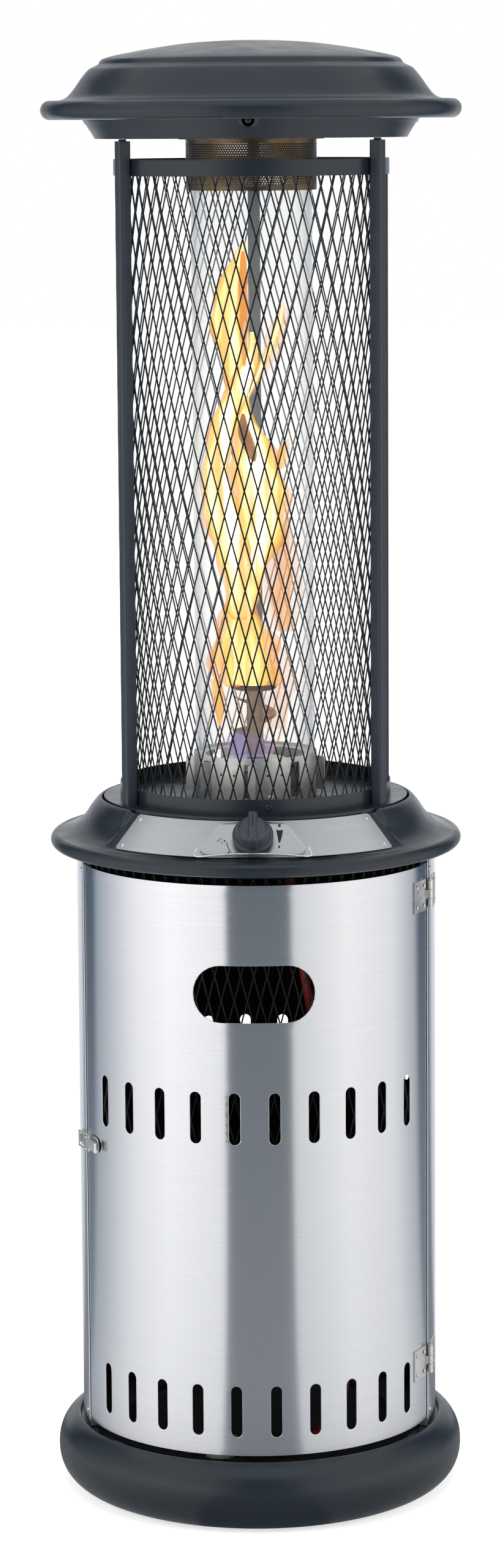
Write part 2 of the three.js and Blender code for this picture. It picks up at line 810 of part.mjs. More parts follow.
// Hat: spun crown with a step, a concave flare and a rolled rim
function spunHat() {
  const rim = arc(hat.r - hat.beadR, hatRimZ + hat.beadR, hat.beadR, 85, 90 - hat.beadTurn, 5);
  const section = wallSection([[0, hatRimZ + hat.rise], ...crown, ...rim], sheet);
  section[section.length - 1][0] = 0;
  return turned(section);
}

// Pan under the hat, with round holes in its wall
function hatPan() {
  const flare = panShares.map(([across, up]) => [
    pan.bottomR + (pan.topR - pan.bottomR) * across,
    panZ + pan.flare * up,
  ]);
  const line = [[0, panZ], [pan.bottomR, panZ], ...flare, [pan.topR, hatUnder(pan.topR) - gap]].reverse();
  const section = wallSection(line, thin);
  section[line.length][0] = 0;
  let solid = turned(section);
  for (const azimuth of [0, 90, 180, 270]) {
    const z = panZ + pan.holeRise;
    const cutter = longHole(pan.holeR * 2, pan.holeR * 2 + weld, azimuth, z, pan.bottomR, hat.r);
    solid = solid.subtract(cutter);
  }
  return solid;
}

// Perforated sleeve with a flange that hangs it under the pan
function flueSleeve() {
  const { r, wall, flange, holeR, columns, rows, length } = sleeve;
  let solid = turned(wallSection(
    [[r, sleeveZ], [r, sleeveTopZ - wall], [r + flange, sleeveTopZ - wall]], -wall), burnerFacets);
  for (let j = 0; j < rows; j += 1) {
    for (let i = 0; i < columns; i += 1) {
      const azimuth = ((i + (j % 2) / 2) * 360) / columns;
      const z = sleeveZ + (length * (j + 1)) / (rows + 1);
      const cutter = longHole(holeR * 2, holeR * 2 + weld, azimuth, z, r - overrun, r + overrun);
      solid = solid.subtract(cutter);
    }
  }
  return solid;
}

function glassTube() {
  return ring(glass.r - glass.wall, glass.r, glassZ, glassTopZ, burnerFacets);
}

// Ledge inside the cup's rim that the glass stands on
function glassSeat() {
  const outerR = cup.r - cup.wall - gap;
  return ring(seat.innerR, outerR, seatZ - seat.wall, seatZ, burnerFacets);
}

// Burner cup: upright slots whose tabs are bent out
function burnerCup() {
  const { r, wall, floorInnerR, slots, firstSlot, slotWidth, slotHeight, slotRise } = cup;
  const line = [[floorInnerR, cupZ], [r, cupZ], [r, cupTopZ]].reverse();
  let solid = turned(wallSection(line, wall), burnerFacets);
  const slotAngle = THREE.MathUtils.radToDeg(slotWidth / r);
  const middleZ = cupZ + slotRise + slotHeight / 2;
  for (let i = 0; i < slots; i += 1) {
    const azimuth = firstSlot + (i * 360) / slots;
    const cutter = box(slotWidth, overrun * 2, slotHeight, 0, 0, middleZ);
    solid = solid.subtract(placed(cutter, station(azimuth - slotAngle / 2, r, 0)));
    const bend = new THREE.Group();
    const tab = box(cup.tabReach, wall, slotHeight, -cup.tabReach / 2, 0, middleZ);
    const place = station(azimuth, r - wall, 0);
    bend.rotation.z = rad(cup.tabLean);
    solid = solid.add(placed(placed(tab, bend), place));
  }
  return solid;
}

// Burner head: mixing tube, fixing flange and a hollow head with ports
function burnerHead() {
  const { ventR, wall, flangeR, headR, ports, portR, portRing } = burner;
  let solid = joined([
    disc(ventR, ventZ, headZ + wall, roundFacets),
    disc(flangeR, flangeZ, flangeZ + wall, burnerFacets),
    disc(headR, headZ, headTopZ, burnerFacets),
  ]);
  solid = solid.subtract(disc(ventR - wall, ventZ - overrun, headTopZ - wall, roundFacets));
  solid = solid.subtract(disc(headR - wall, headZ + wall, headTopZ - wall, burnerFacets));
  for (let i = 0; i < ports; i += 1) {
    const turn = (i / ports) * 2 * Math.PI;
    const [x, y] = [portRing * Math.sin(turn), portRing * Math.cos(turn)];
    solid = solid.subtract(rod(portR, headTopZ - wall * 2, headTopZ + overrun, x, y, pinFacets));
  }
  return solid;
}

// Ribbed flame holder that stands on the burner head
function flameHolder() {
  const { r, wall, ribs, ribDepth, height } = holder;
  const step = height / (2 * ribs);
  const line = [];
  for (let i = 0; i <= 2 * ribs; i += 1) line.push([r - (i % 2) * ribDepth, holderZ + i * step]);
  return turned(wallSection(line.reverse(), wall), roundFacets);
}

function gasInjector() {
  const top = cradleZ - gap;
  const { r, height, neckR, neck, nozzle } = injector;
  return rod(r, top - height, top, 0, 0, 6).add(rod(neckR, top - weld, top + neck, 0, 0, pinFacets))
    .subtract(rod(nozzle / 2, top - height - overrun, top + neck + overrun, 0, 0, pinFacets));
}

// Strap under the deck plate that holds the injector in line with the mixing tube
function injectorCradle() {
  const { width, wall, half, reach, drop } = cradle;
  const top = cradleZ + drop;
  const pieces = [box(half * 2, width, wall, 0, 0, cradleZ + wall / 2)];
  for (const side of [-1, 1]) {
    pieces.push(box(wall, width, drop, side * (half - wall / 2), 0, cradleZ + drop / 2));
    pieces.push(box(reach, width, wall, side * (half + reach / 2 - wall / 2), 0, top - wall / 2));
  }
  const hole = rod(injector.neckR + gap, cradleZ - overrun, cradleZ + overrun, 0, 0, pinFacets);
  return joined(pieces).subtract(hole);
}

// Upright rod with a thinner tip, standing on the cup's floor
function probeRod({ r, height, tipR, tip, place, azimuth }, collarWidth) {
  const z = cupZ + cup.wall + gap;
  const solid = joined([
    rod(r, z, z + height, 0, 0, pinFacets),
    rod(tipR, z + height - weld, z + height + tip, 0, 0, pinFacets),
    rod(collarWidth, z, z + r, 0, 0, pinFacets),
  ]);
  return placed(solid, station(azimuth, place, 0));
}

function tiltBox() {
  const { width, depth, height, place, azimuth } = tiltSwitch;
  const top = deckUnderZ - gap;
  const solid = box(width, depth, height, 0, 0, top - height / 2)
    .add(box(width / 2, depth * 1.4, thin, 0, 0, top - thin / 2));
  return placed(solid, station(azimuth, place, 0));
}

// Ring plate that closes the cabinet's top edge and carries the collar and the deck's brackets
function topRingPlate() {
  const { innerR, notchR, notchHalfAngle } = topRing;
  const notch = sector(-notchHalfAngle, notchHalfAngle, notchR, topRingZ - overrun, topRingTopZ + overrun);
  return ring(innerR, cabinet.r, topRingZ, topRingTopZ).subtract(notch);
}

// Gas valve, in the panel's frame
const backZ = -panel.wall - gap;
const valveTopZ = backZ - backPlate.wall - gap;
const valveBodyZ = valveTopZ - valve.neck;

function gasValve() {
  const { neckR, width, depth, length, boreR, bore, chamfer, inlet, inletR } = valve;
  const half = width / 2;
  const outline = [
    [half, chamfer - depth / 2], [half, depth / 2 - chamfer], [half - chamfer, depth / 2],
    [chamfer - half, depth / 2], [-half, depth / 2 - chamfer], [-half, chamfer - depth / 2],
    [chamfer - half, -depth / 2], [half - chamfer, -depth / 2],
  ];
  const shape = new THREE.Shape(outline.map(([x, y]) => new THREE.Vector2(x, y)));
  const body = new THREE.ExtrudeGeometry(shape, { depth: length, bevelEnabled: false });
  const side = new THREE.CylinderGeometry(inletR, inletR, inlet, pinFacets).rotateZ(rad(90));
  side.translate(half + inlet / 2 - weld, 0, valveBodyZ - length / 2);
  return joined([
    toSolid(body.translate(0, 0, valveBodyZ - length)),
    rod(neckR, valveBodyZ - weld, valveTopZ, 0, 0, roundFacets),
    toSolid(side),
  ]).subtract(rod(boreR, valveTopZ - bore, valveTopZ + overrun, 0, 0, pinFacets));
}

function valveBracket() {
  const { width, below, above, wall } = backPlate;
  const plate = box(width, below + above, wall, 0, (above - below) / 2, backZ - wall / 2);
  return plate.subtract(rod(panel.stemHoleR, backZ - overrun, backZ + overrun, 0, 0, roundFacets));
}

function valveStem() {
  return rod(stem.r, -stem.inward, knob.lift + knob.bore - gap, 0, 0, pinFacets);
}

function controlKnob() {
  const k = knob;
  const edge = k.skirt / 4;
  const turnedBody = turned([
    [0, 0], [k.skirtR - edge, 0], [k.skirtR, edge], [k.skirtR, k.skirt - edge],
    [k.skirtR - edge, k.skirt], [k.bodyR, k.skirt + edge], [k.topR, k.body - edge],
    [k.topR - edge, k.body], [0, k.body],
  ], burnerFacets);
  const corners = [];
  const rows = [[k.skirt - edge, k.gripBase, k.gripLength], [k.height, k.gripTop, k.gripTopLength]];
  for (const [z, width, length] of rows) {
    for (const x of [-width / 2, width / 2]) {
      for (const y of [-length / 2, length / 2]) corners.push(new THREE.Vector3(x, y, z));
    }
  }
  return turnedBody
    .add(toSolid(new ConvexGeometry(corners)))
    .subtract(rod(stem.r + gap, -overrun, k.bore, 0, 0, pinFacets));
}

// Tube along a smooth path through hand-placed points
function tubeAlong(points, r, steps, sides) {
  const curve = new THREE.CatmullRomCurve3(points, false, "centripetal");
  const circle = new THREE.Shape(
    arc(0, 0, r, 0, 360 - 360 / sides, sides - 1).map(([x, y]) => new THREE.Vector2(x, y)));
  return toSolid(new THREE.ExtrudeGeometry(circle, { steps, extrudePath: curve }));
}

// A place in the panel's frame, in the root frame
function fromPanel(x, y, z) {
  const frame = panelFrame();
  frame.updateMatrix();
  return new THREE.Vector3(x, y, z).applyMatrix4(frame.matrix);
}

function gasPipe() {
  const start = valveBodyZ - valve.length - gap;
  const end = cradleZ - gap - injector.height - gap;
  const level = end - pipe.bendIn * 2;
  const first = fromPanel(0, 0, start);
  const points = [
    first,
    fromPanel(0, 0, start - pipe.bendIn),
    new THREE.Vector3(0, first.y + pipe.bendIn * 3, level),
    new THREE.Vector3(0, -pipe.bendIn * 5, level),
    new THREE.Vector3(0, -pipe.bendIn * 2, level),
    new THREE.Vector3(0, -pipe.bendIn / 4, end - pipe.bendIn),
    new THREE.Vector3(0, 0, end - pipe.bendIn / 3),
    new THREE.Vector3(0, 0, end),
  ];
  return tubeAlong(points, pipe.r, 18, 6);
}

// Hinge: curved leaf with knuckles; the shell's leaf has two, the door's leaf the middle one
function hingeLeaf(middle, onDoor) {
  const { r, boreR, axisR, azimuth, height, leafHeight, leafWall, leafAngle, clearAngle } = hinge;
  const carrierR = (onDoor ? door.r : cabinet.r) + gap;
  const third = height / 3;
  const x = axisR * Math.sin(rad(azimuth));
  const y = -axisR * Math.cos(rad(azimuth));
  const way = onDoor ? -1 : 1;
  const reach = azimuth + way * leafAngle;
  const near = azimuth + way * clearAngle;
  const slice = (from, to) => sector(
    Math.min(from, to), Math.max(from, to), axisR + r, shellBottomZ, shellTopZ);
  const leaf = (height_, from, to) => ring(
    carrierR, carrierR + leafWall, middle - height_ / 2, middle + height_ / 2).intersect(slice(from, to));
  const spans = onDoor
    ? [[-third / 2 + gap, third / 2 - gap]]
    : [[-height / 2, -third / 2 - gap], [third / 2 + gap, height / 2]];
  const pieces = [leaf(leafHeight, near, reach)];
  for (const [from, to] of spans) {
    pieces.push(rod(r, middle + from, middle + to, x, y, pinFacets));
    const tongue = ring(carrierR, axisR - r / 2, middle + from, middle + to);
    const back = azimuth - way * hinge.tongueBack;
    pieces.push(tongue.intersect(slice(back, azimuth + way * hinge.tongueReach)));
  }
  const bore = rod(boreR, middle - height, middle + height, x, y, pinFacets);
  return joined(pieces).subtract(bore);
}

function hingePin(middle) {
  const { pinR, axisR, azimuth, height, headR, head } = hinge;
  const x = axisR * Math.sin(rad(azimuth));
  const y = -axisR * Math.cos(rad(azimuth));
  const end = middle + height / 2 + gap;
  return rod(pinR, middle - height / 2, end + weld, x, y, pinFacets)
    .add(rod(headR, end, end + head, x, y, pinFacets));
}

// Latch, in a frame on the door: -X points to the seam, -Y out
const latchZ = shellTopZ - latch.drop;
const earBaseY = -(gap * 2 + latch.plateWall);

function latchBase() {
  const { plateWall, plateHeight, plateReach, plateBack, earX, earR, earHalf, earWall, axisOut } = latch;
  const y = -gap * 2 - plateWall / 2;
  const width = plateReach + plateBack;
  const round = new THREE.CylinderGeometry(plateHeight / 2, plateHeight / 2, plateWall, roundFacets);
  const pieces = [
    box(width, plateWall, plateHeight, (plateReach - plateBack) / 2, y, 0),
    toSolid(round.translate(plateReach, y, 0)),
  ];
  for (const side of [-1, 1]) {
    const z = side * (earHalf - earWall / 2);
    const ear = new THREE.CylinderGeometry(earR, earR, earWall, roundFacets);
    ear.rotateX(rad(90)).translate(earX, -axisOut, z);
    pieces.push(toSolid(ear), box(earR * 2, axisOut + earBaseY + weld, earWall, earX,
      (-axisOut + earBaseY + weld) / 2, z));
  }
  const bore = rod(latch.pinR + gap, -plateHeight, plateHeight, earX, -axisOut, pinFacets);
  return joined(pieces).subtract(bore);
}

function latchPin() {
  const { pinR, earX, axisOut, earHalf } = latch;
  return rod(pinR, -earHalf - gap, earHalf + gap, earX, -axisOut, pinFacets);
}

function latchLever() {
  const { earX, axisOut, leverHalf, leverReach, leverWall, lipOut, pinR, bailX, bailR, earR } = latch;
  const half = leverWall / 2;
  const outline = [
    [earX - earR + gap * 2, -axisOut - half], [leverReach - half * 2, -axisOut - half],
    [leverReach, -axisOut - lipOut], [leverReach + half, -axisOut - half],
    [leverReach - half, -axisOut + half], [earX - earR + gap * 2, -axisOut + half],
  ];
  const shape = new THREE.Shape(outline.map(([x, y]) => new THREE.Vector2(x, y)));
  const bar = new THREE.ExtrudeGeometry(shape, { depth: leverHalf * 2, bevelEnabled: false });
  return toSolid(bar.translate(0, 0, -leverHalf))
    .subtract(rod(pinR + gap, -leverHalf * 2, leverHalf * 2, earX, -axisOut, pinFacets))
    .subtract(rod(bailR + gap, -leverHalf * 2, leverHalf * 2, earX + bailX, -axisOut, pinFacets));
}

// Wire bail: a cross wire through the lever, two sides and the bar over the keeper
function latchBail() {
  const { earX, bailX, axisOut, bailR, bailHalf, bailReach } = latch;
  const near = earX + bailX;
  const far = near - bailReach;
  const wire = (length, x, z, turn) => {
    const bar = new THREE.CylinderGeometry(bailR, bailR, length, pinFacets);
    return toSolid(bar.rotateX(rad(turn === "z" ? 90 : 0)).rotateZ(rad(turn === "x" ? 90 : 0))
      .translate(x, -axisOut, z));
  };
  const across = bailHalf * 2 + bailR;
  return joined([
    wire(across, near, 0, "z"),
    wire(across, far, 0, "z"),
    wire(bailReach + bailR, (near + far) / 2, bailHalf, "x"),
    wire(bailReach + bailR, (near + far) / 2, -bailHalf, "x"),
  ]);
}

// Keeper on the rear shell, whose hook ends just inside the bail's bar
function latchKeeper() {
  const { earX, bailX, bailReach, axisOut, bailR, azimuth } = latch;
  const { width, height, wall, hook, hookHeight, clearance } = keeper;
  const barX = earX + bailX - bailReach;
  const barR = Math.hypot(door.r + axisOut, barX);
  const barAzimuth = azimuth + THREE.MathUtils.radToDeg(Math.atan2(barX, door.r + axisOut));
  const footR = cabinet.r + gap;
  const hookR = barR - bailR - clearance;
  const solid = box(width, wall, height, 0, -wall / 2, 0)
    .add(box(hook, hookR - footR, hookHeight, 0, -(hookR - footR) / 2, 0));
  const frame = station(barAzimuth, footR, latchZ);
  return placed(solid, frame);
}

// Gas hose: it hangs from the valve's elbow and lies in an arc on the floor plate
const elbowTop = fromPanel(valve.width / 2 + valve.inlet, 0, valveBodyZ - valve.length / 2);
const hoseStart = new THREE.Vector3(
  elbowTop.x + valve.inletR, elbowTop.y, elbowTop.z - valve.elbow);
const hoseZ = floorZ + gap + hose.r;
const hoseRoute = [
  [hoseStart.x, hoseStart.y, hoseStart.z], [hoseStart.x, hoseStart.y, 770],
  [47, -171, 742], [54, -168, 700], [64, -162, 640], [78, -155, 570], [92, -148, 490],
  [102, -142, 410], [107, -139, 330], [109, -138, 250], [108, -139, 190], [103, -143, 150],
  [90, -152, 118], [70, -164, 99], [46, -175, 90.5], [26, -181.5, hoseZ], [10, -184, hoseZ],
  [-2, -184.5, hoseZ],
].map(([x, y, z]) => new THREE.Vector3(x, y, z));

function hoseElbow() {
  const { inletR, elbow } = valve;
  const start = fromPanel(valve.width / 2 + valve.inlet + gap, 0, valveBodyZ - valve.length / 2);
  const wide = inletR * 2;
  return box(wide, wide, wide, start.x + inletR, start.y, start.z)
    .add(rod(inletR - weld, start.z - elbow + gap, start.z, start.x + inletR, start.y, pinFacets));
}

const hoseEnd = hoseRoute[hoseRoute.length - 1];

function hexAlongX(r, length, x, y, z, sides) {
  const nut = new THREE.CylinderGeometry(r, r, length, sides).rotateZ(rad(90));
  return toSolid(nut.translate(x - length / 2, y, z));
}

function hoseNut() {
  const x = hoseEnd.x - gap;
  const z = hoseEnd.z + regulator.nutR - hose.r;
  return hexAlongX(regulator.nutR, regulator.nutLength, x, hoseEnd.y, z, 6);
}

function regulatorBody() {
  const { bodyR, bodyHeight, capR, capHeight, nutR, nutLength, outletR, outlet } = regulator;
  const { tailR, tail, tailSeat } = regulator;
  const z0 = floorZ + gap * 2;
  const level = hoseEnd.z + nutR - hose.r;
  const nearX = hoseEnd.x - gap * 2 - nutLength;
  const centreX = nearX - tail - bodyR + tailSeat;
  const y = hoseEnd.y + bodyR / 4;
  return joined([
    rod(bodyR, z0, z0 + bodyHeight, centreX, y, roundFacets),
    rod(capR, z0 + bodyHeight - weld, z0 + bodyHeight + capHeight, centreX, y, roundFacets),
    hexAlongX(tailR, tail + bodyR / 2, nearX, hoseEnd.y, level, pinFacets),
    hexAlongX(tailR, outlet / 2 + bodyR / 2, centreX - bodyR / 2, y, z0 + outletR, pinFacets),
    hexAlongX(outletR, outlet, centreX - bodyR - outlet / 4, y, z0 + outletR, pinFacets),
  ]);
}

const panelGroup = panelFrame();
panelGroup.add(
  toMesh("gas_valve", gasValve(), brass),
  toMesh("valve_bracket", valveBracket(), zinc),
  toMesh("valve_stem", valveStem(), zinc),
);
const knobMesh = toMesh("control_knob", controlKnob(), plastic);
knobMesh.position.z = knob.lift;
panelGroup.add(knobMesh);

const latchGroup = station(latch.azimuth, door.r, latchZ);
latchGroup.add(
  toMesh("latch_base", latchBase(), zinc),
  toMesh("latch_pin", latchPin(), zinc),
  toMesh("latch_lever", latchLever(), zinc),
  toMesh("latch_bail", latchBail(), zinc),
);

const heater = new THREE.Group();
heater.add(
  toMesh("base_skirt", baseSkirt(), slate),
  toMesh("floor_plate", floorPlate(), zinc),
  toMesh("rear_shell", rearShell(), brushed),
  toMesh("door", doorPanel(), brushed),
  toMesh("door_liner", doorLiner(), black),
  toMesh("top_ring", topRingPlate(), black),
  toMesh("console_collar", consoleCollar(), slate),
  toMesh("control_panel", controlPanel(), brushed),
  toMesh("deck_plate", deckPlate(), slate),
  toMesh("guard_base_ring", guardRing(), slate),
  toMesh("guard_top_band", guardBand(), slate),
  toMesh("hat", spunHat(), slate),
  toMesh("hat_pan", hatPan(), slate),
  toMesh("flue_sleeve", flueSleeve(), heated),
  toMesh("glass_tube", glassTube(), clear),
  toMesh("glass_seat", glassSeat(), stainless),
  toMesh("burner_cup", burnerCup(), stainless),
  toMesh("burner_head", burnerHead(), stainless),
  toMesh("flame_holder", flameHolder(), heated),
  toMesh("gas_injector", gasInjector(), brass),
  toMesh("injector_cradle", injectorCradle(), zinc),
  toMesh("igniter_electrode", probeRod(electrode, electrode.bodyR), ceramic),
  toMesh("thermocouple", probeRod(probe, probe.r * 2), copper),
  toMesh("tilt_switch", tiltBox(), black),
  toMesh("gas_pipe", gasPipe(), copper),
  toMesh("hose_elbow", hoseElbow(), brass),
  toMesh("gas_hose", tubeAlong(hoseRoute, hose.r, 30, 8), rubber),
  toMesh("hose_nut", hoseNut(), brass),
  toMesh("gas_regulator", regulatorBody(), zinc),
  toMesh("latch_keeper", latchKeeper(), zinc),
  panelGroup,
  latchGroup,
);
heater.add(toMesh("mesh_guard", diamondNet({
  r: guard.r,
  depth: guard.depth,
  strand: guard.strand,
  columns: guard.columns,
  rows: guard.rows,
  z0: guardZ + sheet + gap,
  z1: guardTopZ - sheet,
}), slate));
for (const [side, azimuth] of [["left", -post.azimuth], ["right", post.azimuth], ["rear", 180]]) {
  heater.add(toMesh(`post_${side}`, postTube(azimuth), slate));
  heater.add(toMesh(`deck_bracket_${side}`, deckBracket(azimuth), zinc));
}
const hingeHeights = [["upper", shellTopZ - hinge.upperDrop], ["lower", shellBottomZ + hinge.lowerRise]];
for (const [level, z] of hingeHeights) {
  heater.add(toMesh(`hinge_${level}_door_leaf`, hingeLeaf(z, true), zinc));
  heater.add(toMesh(`hinge_${level}_shell_leaf`, hingeLeaf(z, false), zinc));
  heater.add(toMesh(`hinge_${level}_pin`, hingePin(z), zinc));
}

export default heater;
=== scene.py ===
from contextlib import contextmanager
from math import acos, atan2, copysign, cos, degrees, hypot, pi, radians, sin, sqrt, tan

import bmesh
import bpy
from mathutils import Matrix, Vector
from mathutils.geometry import delaunay_2d_cdt

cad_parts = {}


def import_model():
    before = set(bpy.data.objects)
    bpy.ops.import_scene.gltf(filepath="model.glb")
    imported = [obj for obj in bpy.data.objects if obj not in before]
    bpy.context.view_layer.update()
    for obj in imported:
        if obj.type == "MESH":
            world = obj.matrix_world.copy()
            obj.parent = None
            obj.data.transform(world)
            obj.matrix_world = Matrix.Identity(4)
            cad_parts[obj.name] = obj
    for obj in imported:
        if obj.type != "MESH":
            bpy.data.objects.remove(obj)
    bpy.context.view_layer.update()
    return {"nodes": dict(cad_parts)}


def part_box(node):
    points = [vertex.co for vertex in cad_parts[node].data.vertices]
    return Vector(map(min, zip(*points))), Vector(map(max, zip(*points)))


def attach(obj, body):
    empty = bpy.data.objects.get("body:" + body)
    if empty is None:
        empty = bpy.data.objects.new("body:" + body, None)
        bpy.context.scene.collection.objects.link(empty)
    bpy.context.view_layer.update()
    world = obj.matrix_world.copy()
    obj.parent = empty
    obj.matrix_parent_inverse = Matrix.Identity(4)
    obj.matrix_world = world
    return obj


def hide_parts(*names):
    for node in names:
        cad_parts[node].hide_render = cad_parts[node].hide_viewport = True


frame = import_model()

# Lengths are in millimetres here, and become metres in put().
MM = 0.001
ROUND = 192


def low(node):
    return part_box(node)[0].z / MM


def high(node):
    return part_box(node)[1].z / MM


def linked(name, data):
    obj = bpy.data.objects.new(name, data)
    bpy.context.scene.collection.objects.link(obj)
    return obj


# Camera at the photograph's angle
ORBIT, TILT, ROLL = 1.0, 9.052, -0.4
CAMERA_PLACE = (-0.0042, -4.975, 1.659)
camera = linked("camera", bpy.data.cameras.new("camera"))
camera.data.lens = 95.43
camera.data.sensor_width = 36
orbit, tilt, roll = (Matrix.Rotation(radians(angle), 4, axis)
                     for angle, axis in ((ORBIT, "Z"), (90 - TILT, "X"), (ROLL, "Z")))
camera.matrix_world = orbit @ Matrix.Translation(CAMERA_PLACE) @ tilt @ roll
bpy.context.scene.camera = camera


# Materials

def linear(red, green, blue):
    """A colour given in 0 to 255, as a screen shows it."""
    def one(value):
        value /= 255
        return value / 12.92 if value <= 0.04045 else ((value + 0.055) / 1.055) ** 2.4
    return (one(red), one(green), one(blue), 1.0)


def scaled(color, factor):
    return (color[0] * factor, color[1] * factor, color[2] * factor, 1.0)


class Nodes:
    """A node tree that is filled and joined in short calls."""

    def __init__(self, owner):
        owner.use_nodes = True
        self.tree = owner.node_tree
        self.tree.nodes.clear()

    def fill(self, node, values):
        """Joins inputs to sockets or sets them; a name in lower case is the node's own setting."""
        for key, value in values.items():
            if isinstance(key, str):
                if key.islower():
                    setattr(node, key, value)
                    continue
                key = key.replace("_", " ")
            if isinstance(value, bpy.types.NodeSocket):
                self.tree.links.new(value, node.inputs[key])
            else:
                node.inputs[key].default_value = value

    def add(self, kind, *inputs, out=0, **named):
        """Adds a node and gives one of its outputs, or an output node itself."""
        node = self.tree.nodes.new("ShaderNode" + kind)
        self.fill(node, dict(enumerate(inputs)) | named)
        return node.outputs[out] if len(node.outputs) else node

    def noise(self, scale, detail=3.0, stretch=(1, 1, 1), rough=0.5):
        place = self.add("Mapping", self.add("TexCoord", out="Object"), Scale=stretch)
        return self.add("TexNoise", place, Scale=scale, Detail=detail, Roughness=rough, out="Fac")

    def spread(self, value, start, end, low_at=0.3, high_at=0.7):
        return self.add("MapRange", value, low_at, high_at, start, end)

    def ramp(self, value, stops):
        made = self.add("ValToRGB", value)
        elements = made.node.color_ramp.elements
        while len(elements) < len(stops):
            elements.new(0.5)
        for element, (position, color) in zip(elements, stops):
            element.position = position
            element.color = color
        return made


class Finish(Nodes):
    """A Principled material with procedural shade, gloss and grain."""

    def __init__(self, name, color, rough, metal=0.0):
        self.mat = bpy.data.materials.new(name)
        self.mat.diffuse_color = color
        super().__init__(self.mat)
        self.shader = self.add("BsdfPrincipled").node
        self.output = self.add("OutputMaterial", self.shader.outputs[0])
        self.set(Base_Color=color, Roughness=rough, Metallic=metal)

    def set(self, **values):
        self.fill(self.shader, values)

    def tint(self, value, a, b, low_at=0.3, high_at=0.7):
        self.set(Base_Color=self.ramp(value, [(low_at, a), (high_at, b)]))

    def dull(self, value, start, end):
        self.set(Roughness=self.spread(value, start, end))

    def bump(self, value, height, strength):
        self.set(Normal=self.add("Bump", Strength=strength, Distance=height * MM, Height=value))


# Kinds of surface: metallic; scale, detail, darkest and lightest of the shade's clouds; scale, detail
# and range of the gloss; scale, height and strength of the grain
KINDS = {
    "paint": (0.0, (6, 4, 0.9, 1.1), (30, 3, -0.05, 0.06), (900, 0.05, 0.5)),
    "plate": (1.0, (40, 3, 0.82, 1.08), (120, 3, -0.07, 0.1), (500, 0.03, 0.5)),
    "mould": (0.0, (25, 3, 0.92, 1.08), (60, 2, -0.04, 0.05), (1400, 0.03, 0.5)),
    "rubber": (0.0, (60, 3, 0.8, 1.1), (90, 3, -0.05, 0.1), (300, 0.06, 0.6)),
}


def surface(kind, name, color, rough, cloud=None):
    metal, (scale, detail, dark, light), (spots, fine, less, more), (grain, height, strength) = KINDS[kind]
    made = Finish(name, color, rough, metal)
    made.tint(made.noise(cloud or scale, detail), scaled(color, dark), scaled(color, light))
    made.dull(made.noise(spots, fine), rough + less, rough + more)
    made.bump(made.noise(grain, 2), height, strength)
    return made.mat


def brushed(name, color, rough, depth=0.02, blend=0.05, blur=0.0):
    """Brushed sheet; blur spreads reflections up and down, across a grain that runs round the axis."""
    made = Finish(name, color, rough, 1.0)
    lines = made.noise(1.0, 5, (2.0, 2.0, 900.0), 0.7)
    made.tint(lines, scaled(color, 1 - blend), scaled(color, 1 + blend))
    made.dull(made.noise(1.0, 4, (4.0, 4.0, 700.0), 0.6), rough - 0.03, rough + 0.04)
    made.bump(lines, depth, 0.4)
    if blur:
        tangent = made.add("Tangent", direction_type="RADIAL", axis="Z")
        made.set(Anisotropic=blur, Anisotropic_Rotation=0.25, Tangent=tangent)
    return made.mat


def heated(name, cool, hot, rough):
    """Stainless steel tinted by heat: straw to brown in soft clouds."""
    made = Finish(name, hot, rough, 1.0)
    made.tint(made.noise(18, 4), cool, hot, 0.38, 0.62)
    made.dull(made.noise(70, 3), rough - 0.06, rough + 0.1)
    return made.mat


def perforated_vane():
    """Heated sheet with rows of small dark holes."""
    made = Finish("holder_vane", linear(150, 80, 48), 0.45, 1.0)
    place = made.add("Mapping", made.add("TexCoord", out="Object"))
    dots = made.add("TexVoronoi", place, Scale=330.0, Randomness=0.25, out="Distance")
    made.tint(dots, linear(34, 18, 12), linear(165, 92, 56), 0.25, 0.42)
    made.dull(made.noise(60, 2), 0.4, 0.55)
    return made.mat


def clear_glass():
    """Thin glass: nearly clear when seen straight on, a pale haze at its edges."""
    made = Finish("glass", (0.8, 0.85, 0.9, 1), 0.04)
    made.dull(made.noise(9, 2), 0.02, 0.06)
    edge = made.add("LayerWeight", Blend=0.3, out="Facing")
    made.set(Alpha=made.spread(edge, 0.05, 0.8, 0.2, 1.0))
    shadow = made.add("LightPath", out="Is Shadow Ray")
    mix = made.add("MixShader", shadow, made.shader.outputs[0], made.add("BsdfTransparent"))
    made.fill(made.output, {"Surface": mix})
    return made.mat


slate = surface("paint", "slate_paint", linear(24, 32, 40), 0.3)
# Lighter copy of the slate paint for the guard posts: painted light, as the posts catch more reflection.
post_paint = surface("paint", "post_paint", linear(38, 46, 54), 0.3)
net_paint = surface("paint", "net_paint", linear(22, 27, 32), 0.32)
black = surface("paint", "black_paint", linear(12, 12, 13), 0.45)
# Dark material for the cabinet's inner sides and its floor plate: painted shade for the inside of the
# cabinet.
inner_painted_shade = surface("paint", "inner_painted_shade", linear(16, 16, 18), 0.7)
# Dark screw paint: the ring screws' own dark colour, and painted shade on the pan screws under the hat.
dark_screw_and_shade = surface("paint", "dark_screw_and_shade", linear(24, 24, 26), 0.25)
steel = brushed("brushed_steel", (0.77, 0.78, 0.8, 1), 0.2, depth=0.006, blend=0.03, blur=0.9)
panel_steel = brushed("panel_steel", (0.56, 0.57, 0.58, 1), 0.34)
